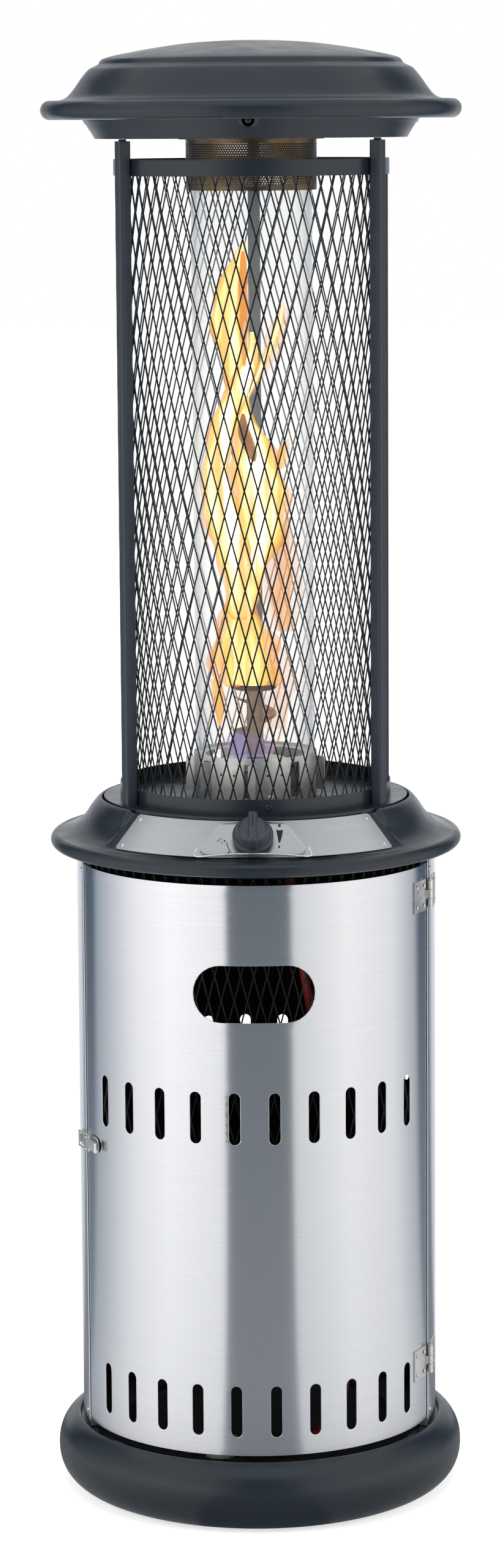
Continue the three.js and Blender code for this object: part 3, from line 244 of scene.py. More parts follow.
# Brighter copy of the panel's steel for the pressed bead: painted highlight along the pocket's edge.
bead_steel_painted_highlight = surface("plate", "bead_steel_painted_highlight", (0.92, 0.93, 0.94, 1), 0.3, 12)
stainless = surface("plate", "stainless", (0.92, 0.9, 0.86, 1), 0.42, 6)
zinc = surface("plate", "zinc", (0.86, 0.85, 0.83, 1), 0.36, 20)
# Darker copy of the zinc for the brackets inside the cabinet and under the deck: painted shade.
zinc_painted_shade = surface("plate", "zinc_painted_shade", (0.16, 0.165, 0.17, 1), 0.5)
brass = surface("plate", "brass", (0.6, 0.42, 0.19, 1), 0.3)
copper = surface("plate", "copper", (0.6, 0.3, 0.17, 1), 0.35)
plastic = surface("mould", "knob_plastic", linear(44, 51, 58), 0.36)
black_plastic = surface("mould", "black_plastic", linear(28, 28, 30), 0.5)
ceramic = surface("mould", "ceramic", linear(232, 226, 214), 0.25)
ink = surface("mould", "ink", linear(20, 20, 22), 0.6)
rubber = surface("rubber", "hose_rubber", linear(128, 26, 16), 0.45)
sleeve_metal = heated("heated_steel", linear(104, 99, 93), linear(140, 116, 84), 0.34)
holder_metal = heated("flame_holder", linear(72, 30, 16), linear(122, 52, 28), 0.45)
vane_metal = perforated_vane()
glass = clear_glass()

# The slot of each finish that isn't named after one; put() works it out and leaves it unused. Blender adds a
# number to the names that the frame's own materials have.
SLOT_OF = {
    "post_paint": "slate_paint", "net_paint": "slate_paint", "bead_steel_painted_highlight": "panel_steel",
    "ink": "black_paint", "dark_screw_and_shade": "black_paint", "flame_holder": "heated_steel",
    "holder_vane": "heated_steel",
}


# Building

@contextmanager
def opened(mesh):
    """A mesh to edit, which is written back at the end."""
    work = bmesh.new()
    work.from_mesh(mesh)
    yield work
    work.to_mesh(mesh)
    work.free()


def put(name, points, faces, material, node=None, body="root", smooth=38, closed=True, slot=None):
    """A piece that rides its body and takes the place of its solid, which is hidden."""
    mesh = bpy.data.meshes.new(name)
    mesh.from_pydata([(x * MM, y * MM, z * MM) for x, y, z in points], [], faces)
    with opened(mesh) as work:
        bmesh.ops.remove_doubles(work, verts=work.verts, dist=2e-6)
        if closed:
            bmesh.ops.recalc_face_normals(work, faces=work.faces)
    shade(mesh, smooth)
    mesh.materials.append(material)
    obj = linked(name, mesh)
    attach(obj, body)
    if node:
        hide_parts(node)
    if slot is None:
        look = material.name.split(".")[0]
        slot = SLOT_OF.get(look, look)
    return obj


def shade(mesh, angle):
    for face in mesh.polygons:
        face.use_smooth = True
    mesh.set_sharp_from_angle(angle=radians(angle))


def thicken(obj, wall, edge=0.35, shaded_inside=None):
    """Gives an open sheet its wall, with softened cut edges, and its inner side a dark material as painted
    shade.
    """
    made = obj.modifiers.new("wall", "SOLIDIFY")
    made.thickness = wall * MM
    made.offset = -1
    made.use_even_offset = True
    if shaded_inside:
        obj.data.materials.append(shaded_inside)
        made.material_offset = 1
    if edge:
        soften(obj, edge)


def soften(obj, width, segments=2, angle=38):
    made = obj.modifiers.new("edges", "BEVEL")
    made.width = width * MM
    made.segments = segments
    made.limit_method = "ANGLE"
    made.angle_limit = radians(angle)
    obj.modifiers.new("normals", "WEIGHTED_NORMAL").keep_sharp = True


def face_out(obj, chosen):
    """Turns an open sheet's faces so that the chosen ones look up."""
    with opened(obj.data) as work:
        bmesh.ops.recalc_face_normals(work, faces=work.faces)
        up = sum(f.normal.z * f.calc_area() for f in work.faces if chosen(f.calc_center_median()))
        if up < 0:
            bmesh.ops.reverse_faces(work, faces=work.faces)


def polar(r, azimuth, z):
    a = radians(azimuth)
    return (r * sin(a), -r * cos(a), z)


def strips(rows, n, start=0, ring=False, loop=False):
    """Quads between rows of n points; ring joins the last row to the first, loop the ends of each row."""
    faces = []
    for i in range(rows if ring else rows - 1):
        a, b = start + i * n, start + (i + 1) % rows * n
        for k in range(n if loop else n - 1):
            j = (k + 1) % n
            faces.append((a + k, a + j, b + j, b + k))
    return faces


def bar(rows, n, start=0):
    """Faces of a closed bar: the strips round it and its two ends."""
    end = start + rows * n
    ends = [tuple(range(start, start + n)), tuple(range(end - n, end))[::-1]]
    return strips(rows, n, start, loop=True) + ends


def prism(outline, z0, z1):
    return [(x, y, z) for z in (z0, z1) for x, y in outline], bar(2, len(outline))


def shifted(faces, start):
    return [tuple(start + i for i in face) for face in faces]


def flipped(faces):
    return [(face[0], *face[:0:-1]) for face in faces]


def joined(parts):
    """Points and faces of several parts as one."""
    points, faces = [], []
    for more, sides in parts:
        faces += shifted(sides, len(points))
        points += more
    return points, faces


def lathe(profile, steps):
    """Points of a line of (r, z) turned round its own axis."""
    angles = [2 * pi * i / steps for i in range(steps)]
    return [(r * cos(a), r * sin(a), z) for a in angles for r, z in profile]


def turn(section, steps=ROUND):
    """Points and faces of a closed section of (r, z) turned round the axis."""
    points = [polar(r, 360 * i / steps, z) for i in range(steps) for r, z in section]
    return points, strips(steps, len(section), ring=True, loop=True)


def turned(name, section, material, node=None, steps=ROUND, **more):
    return put(name, *turn(section, steps), material, node, **more)


def wall_of(line, wall):
    """Closed section of even thickness, on the right-hand side of a line."""
    inner = []
    for i, (r, z) in enumerate(line):
        before, after = line[max(i - 1, 0)], line[min(i + 1, len(line) - 1)]
        sides = []
        for p, q in ((before, (r, z)), ((r, z), after)):
            d = Vector((q[0] - p[0], q[1] - p[1]))
            if d.length > 1e-9:
                sides.append(Vector((d.y, -d.x)).normalized())
        mean = sum(sides, Vector((0, 0))).normalized()
        lean = max(0.4, mean.dot(sides[0]))
        inner.append((r + mean.x * wall / lean, z + mean.y * wall / lean))
    return list(line) + inner[::-1]


def eased(points, per=6):
    """Smooth line through measured points."""
    out = []
    for i in range(len(points) - 1):
        p0, p1 = points[max(i - 1, 0)], points[i]
        p2, p3 = points[i + 1], points[min(i + 2, len(points) - 1)]
        for k in range(per):
            t = k / per
            out.append(tuple(
                0.5 * (2 * b + (c - a) * t + (2 * a - 5 * b + 4 * c - d) * t * t
                       + (3 * b - a - 3 * c + d) * t ** 3)
                for a, b, c, d in zip(p0, p1, p2, p3)))
    out.append(tuple(points[-1]))
    return out


def arc(x, y, radius, start, end, steps):
    angles = [radians(start + (end - start) * i / steps) for i in range(steps + 1)]
    return [(x + radius * cos(a), y + radius * sin(a)) for a in angles]


def circle(x, y, radius, steps):
    return arc(x, y, radius, 0, 360 - 360 / steps, steps - 1)


def stadium(x, y, width, height, steps=8):
    radius = min(width, height) / 2
    half = max(width, height) / 2 - radius
    if width > height:
        return arc(x + half, y, radius, -90, 90, steps) + arc(x - half, y, radius, 90, 270, steps)
    return arc(x, y + half, radius, 0, 180, steps) + arc(x, y - half, radius, 180, 360, steps)


def rounded(corners, radius, steps=5):
    """Closed outline with rounded corners."""
    out = []
    for i, corner in enumerate(corners):
        p = Vector(corner)
        a = Vector(corners[i - 1]) - p
        b = Vector(corners[(i + 1) % len(corners)]) - p
        size = min(radius, a.length * 0.49, b.length * 0.49)
        a, b = a.normalized(), b.normalized()
        half = acos(max(-1, min(1, a.dot(b)))) / 2
        cut = min(size / tan(half), size * 3)
        start, end = p + a * cut, p + b * cut
        for k in range(steps + 1):
            t = k / steps
            out.append(tuple((1 - t) ** 2 * start + 2 * t * (1 - t) * p + t * t * end))
    return out


def edge_line(corners, step):
    """Closed outline with points every step."""
    out = []
    for i, corner in enumerate(corners):
        a, b = Vector(corner), Vector(corners[(i + 1) % len(corners)])
        count = max(1, round((b - a).length / step))
        out += [tuple(a + (b - a) * k / count) for k in range(count)]
    return out


def box_line(u0, u1, v0, v1):
    return [(u0, v0), (u1, v0), (u1, v1), (u0, v1)]


def inside(point, outline):
    x, y = point
    hit = False
    for i in range(len(outline)):
        (x0, y0), (x1, y1) = outline[i - 1], outline[i]
        if (y0 > y) != (y1 > y) and x < x0 + (y - y0) / (y1 - y0) * (x1 - x0):
            hit = not hit
    return hit


def near(point, outline, reach):
    p = Vector(point)
    for i in range(len(outline)):
        a, b = Vector(outline[i - 1]), Vector(outline[i])
        d = b - a
        t = max(0.0, min(1.0, (p - a).dot(d) / max(d.length_squared, 1e-12)))
        if (p - a - d * t).length < reach:
            return True
    return False


def limits(outline):
    us, vs = zip(*outline)
    return min(us), max(us), min(vs), max(vs)


def filled(outline, holes, step_u, step_v):
    """Triangles of a flat outline with holes, over a grid fine enough to bend."""
    points, edges = [], []
    for line in (outline, *holes):
        start, n = len(points), len(line)
        points += line
        edges += [(start + i, start + (i + 1) % n) for i in range(n)]
    boxes = [(*limits(hole), hole) for hole in holes]
    margin = 2

    def in_hole(p, reach=0.0):
        return any(u0 - margin < p[0] < u1 + margin and v0 - margin < p[1] < v1 + margin
                   and (inside(p, hole) or (reach and near(p, hole, reach)))
                   for u0, u1, v0, v1, hole in boxes)

    reach = min(step_u, step_v) * 0.35
    u0, u1, v0, v1 = limits(outline)
    columns = max(1, round((u1 - u0) / step_u))
    rows = max(1, round((v1 - v0) / step_v))
    for i in range(columns + 1):
        for j in range(rows + 1):
            p = (u0 + (u1 - u0) * i / columns, v0 + (v1 - v0) * j / rows)
            if inside(p, outline) and not near(p, outline, reach) and not in_hole(p, reach):
                points.append(p)
    made, _, faces, *_ = delaunay_2d_cdt([Vector(p) for p in points], edges, [], 1, 1e-5)
    kept = []
    for face in faces:
        middle = (sum(made[i].x for i in face) / len(face), sum(made[i].y for i in face) / len(face))
        if not in_hole(middle):
            a, b, c = (made[i] for i in face[:3])
            clockwise = (b.x - a.x) * (c.y - a.y) - (b.y - a.y) * (c.x - a.x) < 0
            kept.append(tuple(reversed(face)) if clockwise else tuple(face))
    return [(p.x, p.y) for p in made], kept


def sheet(u0, u1, v0, v1, holes, step_u, step_v):
    return filled(edge_line(box_line(u0, u1, v0, v1), step_u), holes, step_u, step_v)


def on_cylinder(points, r):
    return [polar(r, degrees(u / r), v) for u, v in points]


# Gas hose, from the valve's elbow to the regulator on the cabinet's floor

HOSE_RADIUS = 6.3
HOSE = [
    (43, -176, 790.2), (43, -176, 770), (47, -171, 742), (54, -168, 700), (64, -162, 640), (78, -155, 570),
    (92, -148, 490), (102, -142, 410), (107, -139, 330), (109, -138, 250), (108, -139, 190),
    (103, -143, 150), (90, -152, 118), (70, -164, 99), (46, -175, 90.5), (26, -181.5, 88.1),
    (10, -184, 88.1), (-2, -184.5, 88.1),
]


def gas_hose():
    line = [Vector(p) * MM for p in eased(HOSE, 8)]
    curve = bpy.data.curves.new("gas_hose_red", "CURVE")
    curve.dimensions = "3D"
    curve.bevel_depth = HOSE_RADIUS * MM
    curve.bevel_resolution = 5
    curve.use_fill_caps = True
    spline = curve.splines.new("POLY")
    spline.points.add(len(line) - 1)
    for point, place in zip(spline.points, line):
        point.co = (*place, 1)
    spline.use_smooth = True
    curve.materials.append(rubber)
    obj = linked("gas_hose_red", curve)
    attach(obj, "root")
    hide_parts("gas_hose")


gas_hose()

# Heights of the frame
channel_z = low("rear_shell")
shell_top = high("rear_shell")
collar_z = low("console_collar")
deck_z = high("deck_plate")
guard_z = low("guard_base_ring")
guard_top = high("guard_top_band")
pan_z = low("hat_pan")
cup_z = low("burner_cup")
cup_top = high("burner_cup")


# Base: fat rounded ring with a rolled lip

SPUN_WALL = 1.5


def base():
    half, tall, roundness, centre = 44.3, 45.0, 2.2, 248.6 - 44.3
    points = []
    for i in range(41):
        t = radians(-90 + 152 * i / 40)
        sides = (cos(t), sin(t))
        across, up = (copysign(abs(side) ** (2 / roundness), side) for side in sides)
        points.append((centre + half * across, tall * (1 + up)))
    lip = points[-1]
    line = [(190, 0)] + points
    line += arc(lip[0] - 2.2, lip[1] - 2.6, 3.2, 60, 178, 6)[1:]
    line += [(line[-1][0], channel_z - 0.3), (192, channel_z - 0.3)]
    turned("base_ring", wall_of(line[::-1], SPUN_WALL), slate, "base_skirt", smooth=50)


base()


# Cabinet: door and rear shell, cut from curved sheets

SLOT_PITCH, SLOTS, SLOT_SIZE = 12.6, 10, (13.5, 62.3)
SLOT_ROWS = (channel_z + 65.5, channel_z + 422.2)
SHEET_WALL, SHEET_EDGE, SHEET_STEP = 1.2, 0.55, (5.2, 11.0)
DOOR_R, DOOR_SEAM = 216.5, 71.3
SHELL_R, SEAM = 217.8, 72
door_low, door_top = low("door"), high("door")


def slots(r, rows, middle):
    return [stadium(radians(middle + (i - (SLOTS - 1) / 2) * SLOT_PITCH) * r, z, *SLOT_SIZE)
            for z in rows for i in range(SLOTS)]


def curved_sheet(name, r, start, end, z0, z1, holes, node, body="root"):
    holes = [edge_line(hole, SHEET_STEP[0]) for hole in holes]
    points, faces = sheet(radians(start) * r, radians(end) * r, z0, z1, holes, *SHEET_STEP)
    obj = put(name, on_cylinder(points, r), faces, steel, node, body, closed=False)
    # The sheets' inner side gets the dark material as painted shade of the cabinet's inside.
    thicken(obj, SHEET_WALL, SHEET_EDGE, inner_painted_shade)


window = stadium(0, door_low + 560.4, 146, 68, 14)
curved_sheet("door_sheet", DOOR_R, -DOOR_SEAM, DOOR_SEAM, door_low, door_top,
             slots(DOOR_R, SLOT_ROWS, 0) + [window], "door", "door_body")
curved_sheet("shell_sheet", SHELL_R, SEAM, 360 - SEAM, channel_z, shell_top,
             slots(SHELL_R, (SLOT_ROWS[0], SLOT_ROWS[1] + 2), 178.6), "rear_shell")


def bent_edge(name, r, azimuth, way, z0, z1, depth, body):
    """Edge of the sheet that is bent inward at a seam."""
    end = azimuth + way * degrees(SHEET_WALL / r)
    section = [(r - 0.6, azimuth), (r - depth, azimuth), (r - depth, end), (r - 0.6, end)]
    put(name, [polar(a, b, z) for z in (z0, z1) for a, b in section], bar(2, 4), steel, body=body)


for side, way in (("right", 1), ("left", -1)):
    bent_edge(f"door_flange_{side}", DOOR_R, way * DOOR_SEAM, -way, door_low + 1, door_top - 1, 8,
              "door_body")
    bent_edge(f"shell_flange_{side}", SHELL_R, way * SEAM, way, channel_z + 1, shell_top - 1, 10, "root")


# Expanded metal: strands with a ridge, between diamond openings.
# Each knot has five corners: ridge, upper, down, east and left. In the quads below, n stands for
# the next knot of the row, and a and b for the knots ahead and behind in the row above or below.

KNOT = "L U E D"
UPWARD = "R E aD aR, nR aR aD nL, U aL aD E, L bD bE U"
DOWNWARD = "R aR aU E, nR nL aU aR"
LOWEST = "R nR nL E, D nD nR R, D E nL nD"
HIGHEST = "E nL nR R, R nR nU U, E U nU nL"


def diamond_net(r, depth, strand, columns, rows, z0, z1):
    row = (z1 - z0 - strand * 2) / rows
    half = pi / columns
    inner = r - depth
    slope = hypot(row, half * r)
    reach_up = strand / 2 * slope / (half * r)
    reach_round = strand / 2 * slope / row / r
    bar_reach = reach_round + strand / 2 * half / row
    points = []
    for j in range(rows + 1):
        for i in range(columns):
            a = (i + (j % 2) / 2) * half * 2
            z = z0 + strand + j * row
            edge = strand / 2 if j == 0 else -strand / 2 if j == rows else 0
            reach = bar_reach if j in (0, rows) else reach_round
            places = [(0, 0, r), (0, strand if j == rows else reach_up, inner),
                      (0, -strand if j == 0 else -reach_up, inner),
                      (reach, edge, inner), (-reach, edge, inner)]
            points += [(q * sin(a + t), -q * cos(a + t), z + dz) for t, dz, q in places]

    def corner(word, i, j, way):
        ahead = i + j % 2
        knots = {"n": (i + 1, j), "a": (ahead, j + way), "b": (ahead - 1, j + way)}
        column, line = knots.get(word[:-1], (i, j))
        return 5 * (column % columns + columns * line) + "RUDEL".index(word[-1])

    faces = []
    for j in range(rows + 1):
        for i in range(columns):
            for wanted, way, quads in ((True, 0, KNOT), (j < rows, 1, UPWARD), (j > 0, -1, DOWNWARD),
                                       (j == 0, 0, LOWEST), (j == rows, 0, HIGHEST)):
                if wanted:
                    faces += [tuple(corner(word, i, j, way) for word in quad.split())
                              for quad in quads.split(",")]
    return points, faces


def trim_wedge(obj, half_angle):
    """Keeps the part of a net that lies within an angle of the front, and closes the cut strands."""
    a = radians(half_angle)
    with opened(obj.data) as work:
        for way in (1, -1):
            bmesh.ops.bisect_plane(work, geom=work.verts[:] + work.edges[:] + work.faces[:], dist=1e-7,
                                   plane_co=(0, 0, 0), plane_no=(way * cos(a), sin(a), 0),
                                   clear_outer=True)
            bmesh.ops.holes_fill(work, edges=[e for e in work.edges if e.is_boundary], sides=12)


points, faces = diamond_net(161.7, 1.5, 1.9, 64, 26, guard_z + 1.8, guard_top - 1.5)
put("diamond_guard", points, faces, net_paint, "mesh_guard", smooth=20)
points, faces = diamond_net(213.7, 1.4, 1.9, 86, 12, low("door_liner"), high("door_liner"))
trim_wedge(put("liner_net", points, faces, black, "door_liner", "door_body", smooth=20), 66)


# Console: neck, flare, fat rolled rim, and a straight pad for the panel, open behind its pocket

PLATE_TOP, PLATE_END = Vector((187.4, 57.6)), Vector((228, 21))
PLATE_LENGTH = (PLATE_END - PLATE_TOP).length
SLOPE = (PLATE_END - PLATE_TOP).normalized()
ABOVE = Vector((-SLOPE.y, SLOPE.x))
OPEN_ANGLE = 24
PAD_ENDS = (50.2, 50.7, 51.2, 51.7)


def gentle(t):
    t = max(0.0, min(1.0, t))
    return t * t * (3 - 2 * t)


def console():
    flare = eased([(187, 60), (190, 58.3), (193.5, 55), (199.5, 47.5), (204.7, 39.5), (208.5, 34.5),
                   (214, 29), (221, 24), (228, 20.8)], 3)
    top, end = (edge - ABOVE * SPUN_WALL for edge in (PLATE_TOP, PLATE_END))
    pad = [top.lerp(end, k / (len(flare) - 1)) for k in range(len(flare))]
    tail = arc(239.8, 8.8, 8.8, 105, -90, 20) + [(230, 0), (200, 0)]
    azimuths = [a for a in (360 * i / ROUND - 180 for i in range(ROUND)) if not 49.6 < abs(a) < 52.3]
    azimuths = sorted(azimuths + [way * a for way in (-1, 1) for a in PAD_ENDS])
    points = []
    for a in azimuths:
        t = gentle((abs(a) - PAD_ENDS[0]) / (PAD_ENDS[-1] - PAD_ENDS[0]))
        row = [(185.6, 43.5), (185.6, 55 + 3.8 * t)]
        row += [(p[0] + (q[0] - p[0]) * t, p[1] + (q[1] - p[1]) * t) for p, q in zip(pad, flare)]
        row += tail
        points += [polar(r, a, collar_z + h) for r, h in row]
    faces = []
    for i, face in enumerate(strips(len(azimuths), len(row), ring=True)):
        column, k = divmod(i, len(row) - 1)
        if abs(azimuths[column] + 180 / ROUND) >= OPEN_ANGLE or k > len(flare):
            faces.append(face)
    obj = put("console_ring", points, faces, slate, "console_collar", smooth=60, closed=False)
    face_out(obj, lambda middle: middle.z > (collar_z + 25) * MM)
    thicken(obj, SPUN_WALL, 0)


console()


# Control panel in its own frame: the pocket's floor is flat, the plate round it is a cone

FLOOR_TOP, FLOOR_END = (186.9, 54.5), (214, 23.1)
FALL, RUN = FLOOR_TOP[1] - FLOOR_END[1], FLOOR_END[0] - FLOOR_TOP[0]
FLOOR_HALF = hypot(FALL, RUN) / 2
MEAN_R = 207.7
panel_frame = Matrix.Translation((0, -(FLOOR_TOP[0] + FLOOR_END[0]) / 2,
                                  collar_z + (FLOOR_TOP[1] + FLOOR_END[1]) / 2))
panel_frame = panel_frame @ Matrix.Rotation(atan2(FALL, RUN), 4, "X")


def on_floor(x, y, z=0.0):
    return panel_frame @ Vector((x, y, z))


def plate_point(u, v):
    """u along the arc at the plate's mean radius, v down the slope."""
    place = PLATE_TOP.lerp(PLATE_END, v / PLATE_LENGTH)
    return polar(place.x, degrees(u / MEAN_R), collar_z + place.y)


def plate_spot(point):
    """The plate's own u and v, and how far the point is above the cone."""
    off = Vector((hypot(point.x, point.y), point.z - collar_z)) - PLATE_TOP
    return atan2(point.x, -point.y) * MEAN_R, off.dot(SLOPE), off.dot(ABOVE)


def wall_depth(x, y, out, lean):
    """Height over the pocket's floor at which its leaning wall meets the plate."""
    lower, upper = 0.0, 30.0
    for _ in range(40):
        depth = (lower + upper) / 2
        if plate_spot(on_floor(x + out.x * lean * depth, y + out.y * lean * depth, depth))[2] > 0:
            upper = depth
        else:
            lower = depth
    return depth


def panel_plate():
    half, side, wall_run = FLOOR_HALF, radians(46) * MEAN_R, 0.8
    floor = rounded([(66.5, -half), (38, half), (-38, half), (-66.5, -half)], 9, 6)
    count = len(floor)
    rings = [[] for _ in range(9)]
    for i, (x, y) in enumerate(floor):
        along = (Vector(floor[(i + 1) % count]) - Vector(floor[i - 1])).normalized()
        out = Vector((along.y, -along.x))
        if out.dot(Vector((x, y))) < 0:
            out = -out
        lean = 0.8 + 0.5 * max(0, -out.y) ** 2 - 0.45 * max(0, out.y) ** 2
        depth = wall_depth(x, y, out, lean)
        for k, ring in enumerate(rings):
            t = k / (len(rings) - 1)
            across = -wall_run + (lean * depth + 2 * wall_run) * t
            ring.append((x + out.x * across, y + out.y * across, depth * gentle(t)))
    rim = [plate_spot(on_floor(*p))[:2] for p in rings[-1]]
    outline = edge_line(rounded(box_line(-side, side, 0.3, PLATE_LENGTH - 0.3), 4.5, 4), 4)
    flat, faces = filled(outline, [rim], 4, 6)
    faces = [face[::-1] for face in faces]
    faces += flipped(strips(len(rings), count, len(flat), loop=True))
    points = [plate_point(u, v) for u, v in flat]
    points += [on_floor(*p) for ring in rings[:-1] for p in ring]
    points += [plate_point(u, v) for u, v in rim]
    flat, more = filled([(x, y) for x, y, _ in rings[0]], [circle(0, 0, 6, 24)], 9, 9)
    faces += shifted(more, len(points))
    points += [on_floor(*p) for p in flat]
    obj = put("panel_plate", points, faces, panel_steel, "control_panel", smooth=60, closed=False)
    face_out(obj, lambda middle: True)
    thicken(obj, 1.2, 0.3)


panel_plate()


def pocket_bead():
    """Pressed bead at the pocket's sides and lower edge."""
    half, half_width, height, ring = FLOOR_HALF, 1.4, 0.9, 9
    line = rounded([(43.5, half + 1), (74, -half - 4.9), (-74, -half - 4.9), (-43.5, half + 1)], 9, 8)
    line = sorted((Vector(p) for p in line if p[1] < half - 6), key=lambda p: atan2(-p.x, -p.y))
    fine = []
    for a, b in zip(line, line[1:]):
        count = max(1, round((b - a).length / 4))
        fine += [a.lerp(b, k / count) for k in range(count)]
    spots = [Vector(plate_spot(on_floor(*p))[:2]) for p in (*fine, line[-1])]
    points = []
    for i, p in enumerate(spots):
        along = (spots[min(i + 1, len(spots) - 1)] - spots[max(i - 1, 0)]).normalized()
        for k in range(ring):
            t = pi * k / (ring - 1)
            q = p + Vector((along.y, -along.x)) * (half_width * cos(t))
            x, y, z = plate_point(q.x, q.y)
            lift = height * sin(t) - 0.1
            out = ABOVE.x * lift / hypot(x, y)
            points.append((x + x * out, y + y * out, z + ABOVE.y * lift))
    put("pocket_bead", points, bar(len(spots), ring), bead_steel_painted_highlight, smooth=60)


pocket_bead()


# Thin printed signs on the pocket's floor

def stroke(radius, width, start, end):
    """Curved band round the knob."""
    return arc(0, 0, radius + width / 2, start, end, 14) + arc(0, 0, radius - width / 2, end, start, 14)


def flame_sign(x, y, size):
    outline = [(0, 3.2), (0.9, 1.6), (1.6, 0.2), (1.5, -1.3), (0.6, -2.3), (-0.6, -2.3), (-1.5, -1.3),
               (-1.4, 0.1), (-0.6, 1.2)]
    return [(x + a * size, y + b * size) for a, b in outline]


MARKS = [
    circle(-33.1, -2.2, 1.1, 12),
    stroke(31.0, 0.9, 188, 216),
    [(-42.2, -2.6), (-38.8, -2.6), (-38.8, -1.9), (-42.2, -1.9)],
    [(-39.9, -0.9), (-38.9, 1.4), (-38.3, 1.2), (-39.2, -1.1)],
    [(-37.4, -0.6), (-35.9, 1.2), (-35.4, 0.8), (-36.8, -1.0)],
    [(-37.4, -3.9), (-35.9, -5.6), (-35.4, -5.2), (-36.8, -3.5)],
    flame_sign(30.7, 18.6, 1.0),
    flame_sign(30.4, -10.4, 0.75),
    [(27.0, 12.6), (31, 11.6), (34.9, 12.6), (34.4, 7), (33.2, 1), (31.6, -4.6), (29.9, -5.2),
     (29.2, -0.5), (28.2, 5.5)],
    flame_sign(-28.4, -18.2, 0.7),
]
points, faces = joined(prism(mark, 0.02, 0.12) for mark in MARKS)
put("panel_marks", [on_floor(*p) for p in points], faces, ink)


# Guard: base ring, top band, the deck, and three posts

def hoop(name, line, node):
    soften(turned(name, wall_of(line[::-1], SPUN_WALL), slate, node), 0.35)


RING_R, POST_R = 163.5, 171.3
hoop("guard_ring", [(RING_R - 12, guard_z), (RING_R, guard_z), (RING_R, guard_z + 19.2)],
     "guard_base_ring")
hoop("guard_band", [(RING_R, guard_top - 19), (RING_R, guard_top)], "guard_top_band")
hoop("deck", [(33, deck_z), (182, deck_z), (182, deck_z - 14)], "deck_plate")


def spun(x, y, z, azimuth):
    a = radians(azimuth)
    return (x * cos(a) - y * sin(a), x * sin(a) + y * cos(a), z)


def post(side, azimuth):
    """Square tube with rounded edges, and a round stub at its top."""
    node, half, corner, stub = f"post_{side}", 4.5, 3, 2.3
    top = high(node) - stub
    square = []
    for x, y, start in ((half, half, 0), (-half, half, 90), (-half, -half, 180), (half, -half, 270)):
        square += arc(x, y, corner, start, start + 90, 6)
    tube, end = prism(square, low(node), top), prism(circle(0, 0, half, 24), top - 1, top + stub)
    points, faces = joined((tube, end))
    points = [spun(x, y - POST_R, z, azimuth) for x, y, z in points]
    soften(put(f"guard_post_{side}", points, faces, post_paint, node), 0.5)


for side, azimuth in (("left", -60), ("right", 60), ("rear", 180)):
    post(side, azimuth)


# Hat and its pan

HAT = [
    (0, 1754), (30, 1753.4), (65.7, 1751.4), (89.6, 1748.8), (122, 1744), (155, 1738), (168, 1735),
    (175.5, 1732.4), (178.2, 1729.6), (180.4, 1726.4), (186, 1723.6), (191, 1721), (195.4, 1716.5),
    (200.6, 1710), (208.8, 1698.5), (216, 1690), (222.5, 1686.2), (230, 1684.6),
]
DISH = [(185, 1640), (189, 1647), (193, 1653), (196, 1658), (199, 1661.2), (203, 1672), (206.6, 1690)]


def hat():
    bead_r, bead_z = 11.3, 1673.5
    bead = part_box("hat")[1].x / MM - bead_r - 0.05
    line = eased(HAT + [(bead, 1684.7)], 5) + arc(bead, bead_z, bead_r, 84, -142, 26)[1:]
    shift = high("hat") - HAT[0][1]
    section = wall_of([(r, z + shift) for r, z in line], SPUN_WALL)
    section[-1] = (0, section[-1][1])
    turned("spun_hat", section, slate, "hat", 256, smooth=60)


hat()


def pan():
    """Dish under the hat: the wall is cut from a sheet, with round holes."""
    line = eased(DISH, 4)
    mean, notch_z, notch_r = 198.0, 1661, 7.5
    around = pi * mean
    step = 2 * around / ROUND

    def radius(z):
        for (r0, z0), (r1, z1) in zip(line, line[1:]):
            if z <= z1:
                return r0 + (r1 - r0) * (z - z0) / (z1 - z0)
        return line[-1][0]

    holes = [circle(radians(a) * mean, notch_z, notch_r, 24) for a in (-90, 0, 90)]
    flat, faces = sheet(-around, around, line[0][1], line[-1][1], holes, step, 3.2)
    points = [polar(radius(v), degrees(u / mean), v + pan_z - line[0][1]) for u, v in flat]
    floor_radii = (185.0, 150.0, 100.0, 40.0)
    faces += flipped(strips(len(floor_radii), ROUND, len(points), loop=True))
    for r in floor_radii:
        points += [polar(r, -180 + 360 * i / ROUND, pan_z) for i in range(ROUND)]
    middle = len(points)
    faces += [(middle - ROUND + i, middle, middle - ROUND + (i + 1) % ROUND) for i in range(ROUND)]
    points.append((0, 0, pan_z))
    obj = put("hat_dish", points, faces, slate, "hat_pan", smooth=60, closed=False)
    face_out(obj, lambda middle: middle.z < (pan_z + 1) * MM)
    obj.data.flip_normals()
    thicken(obj, 1.2, 0)


pan()


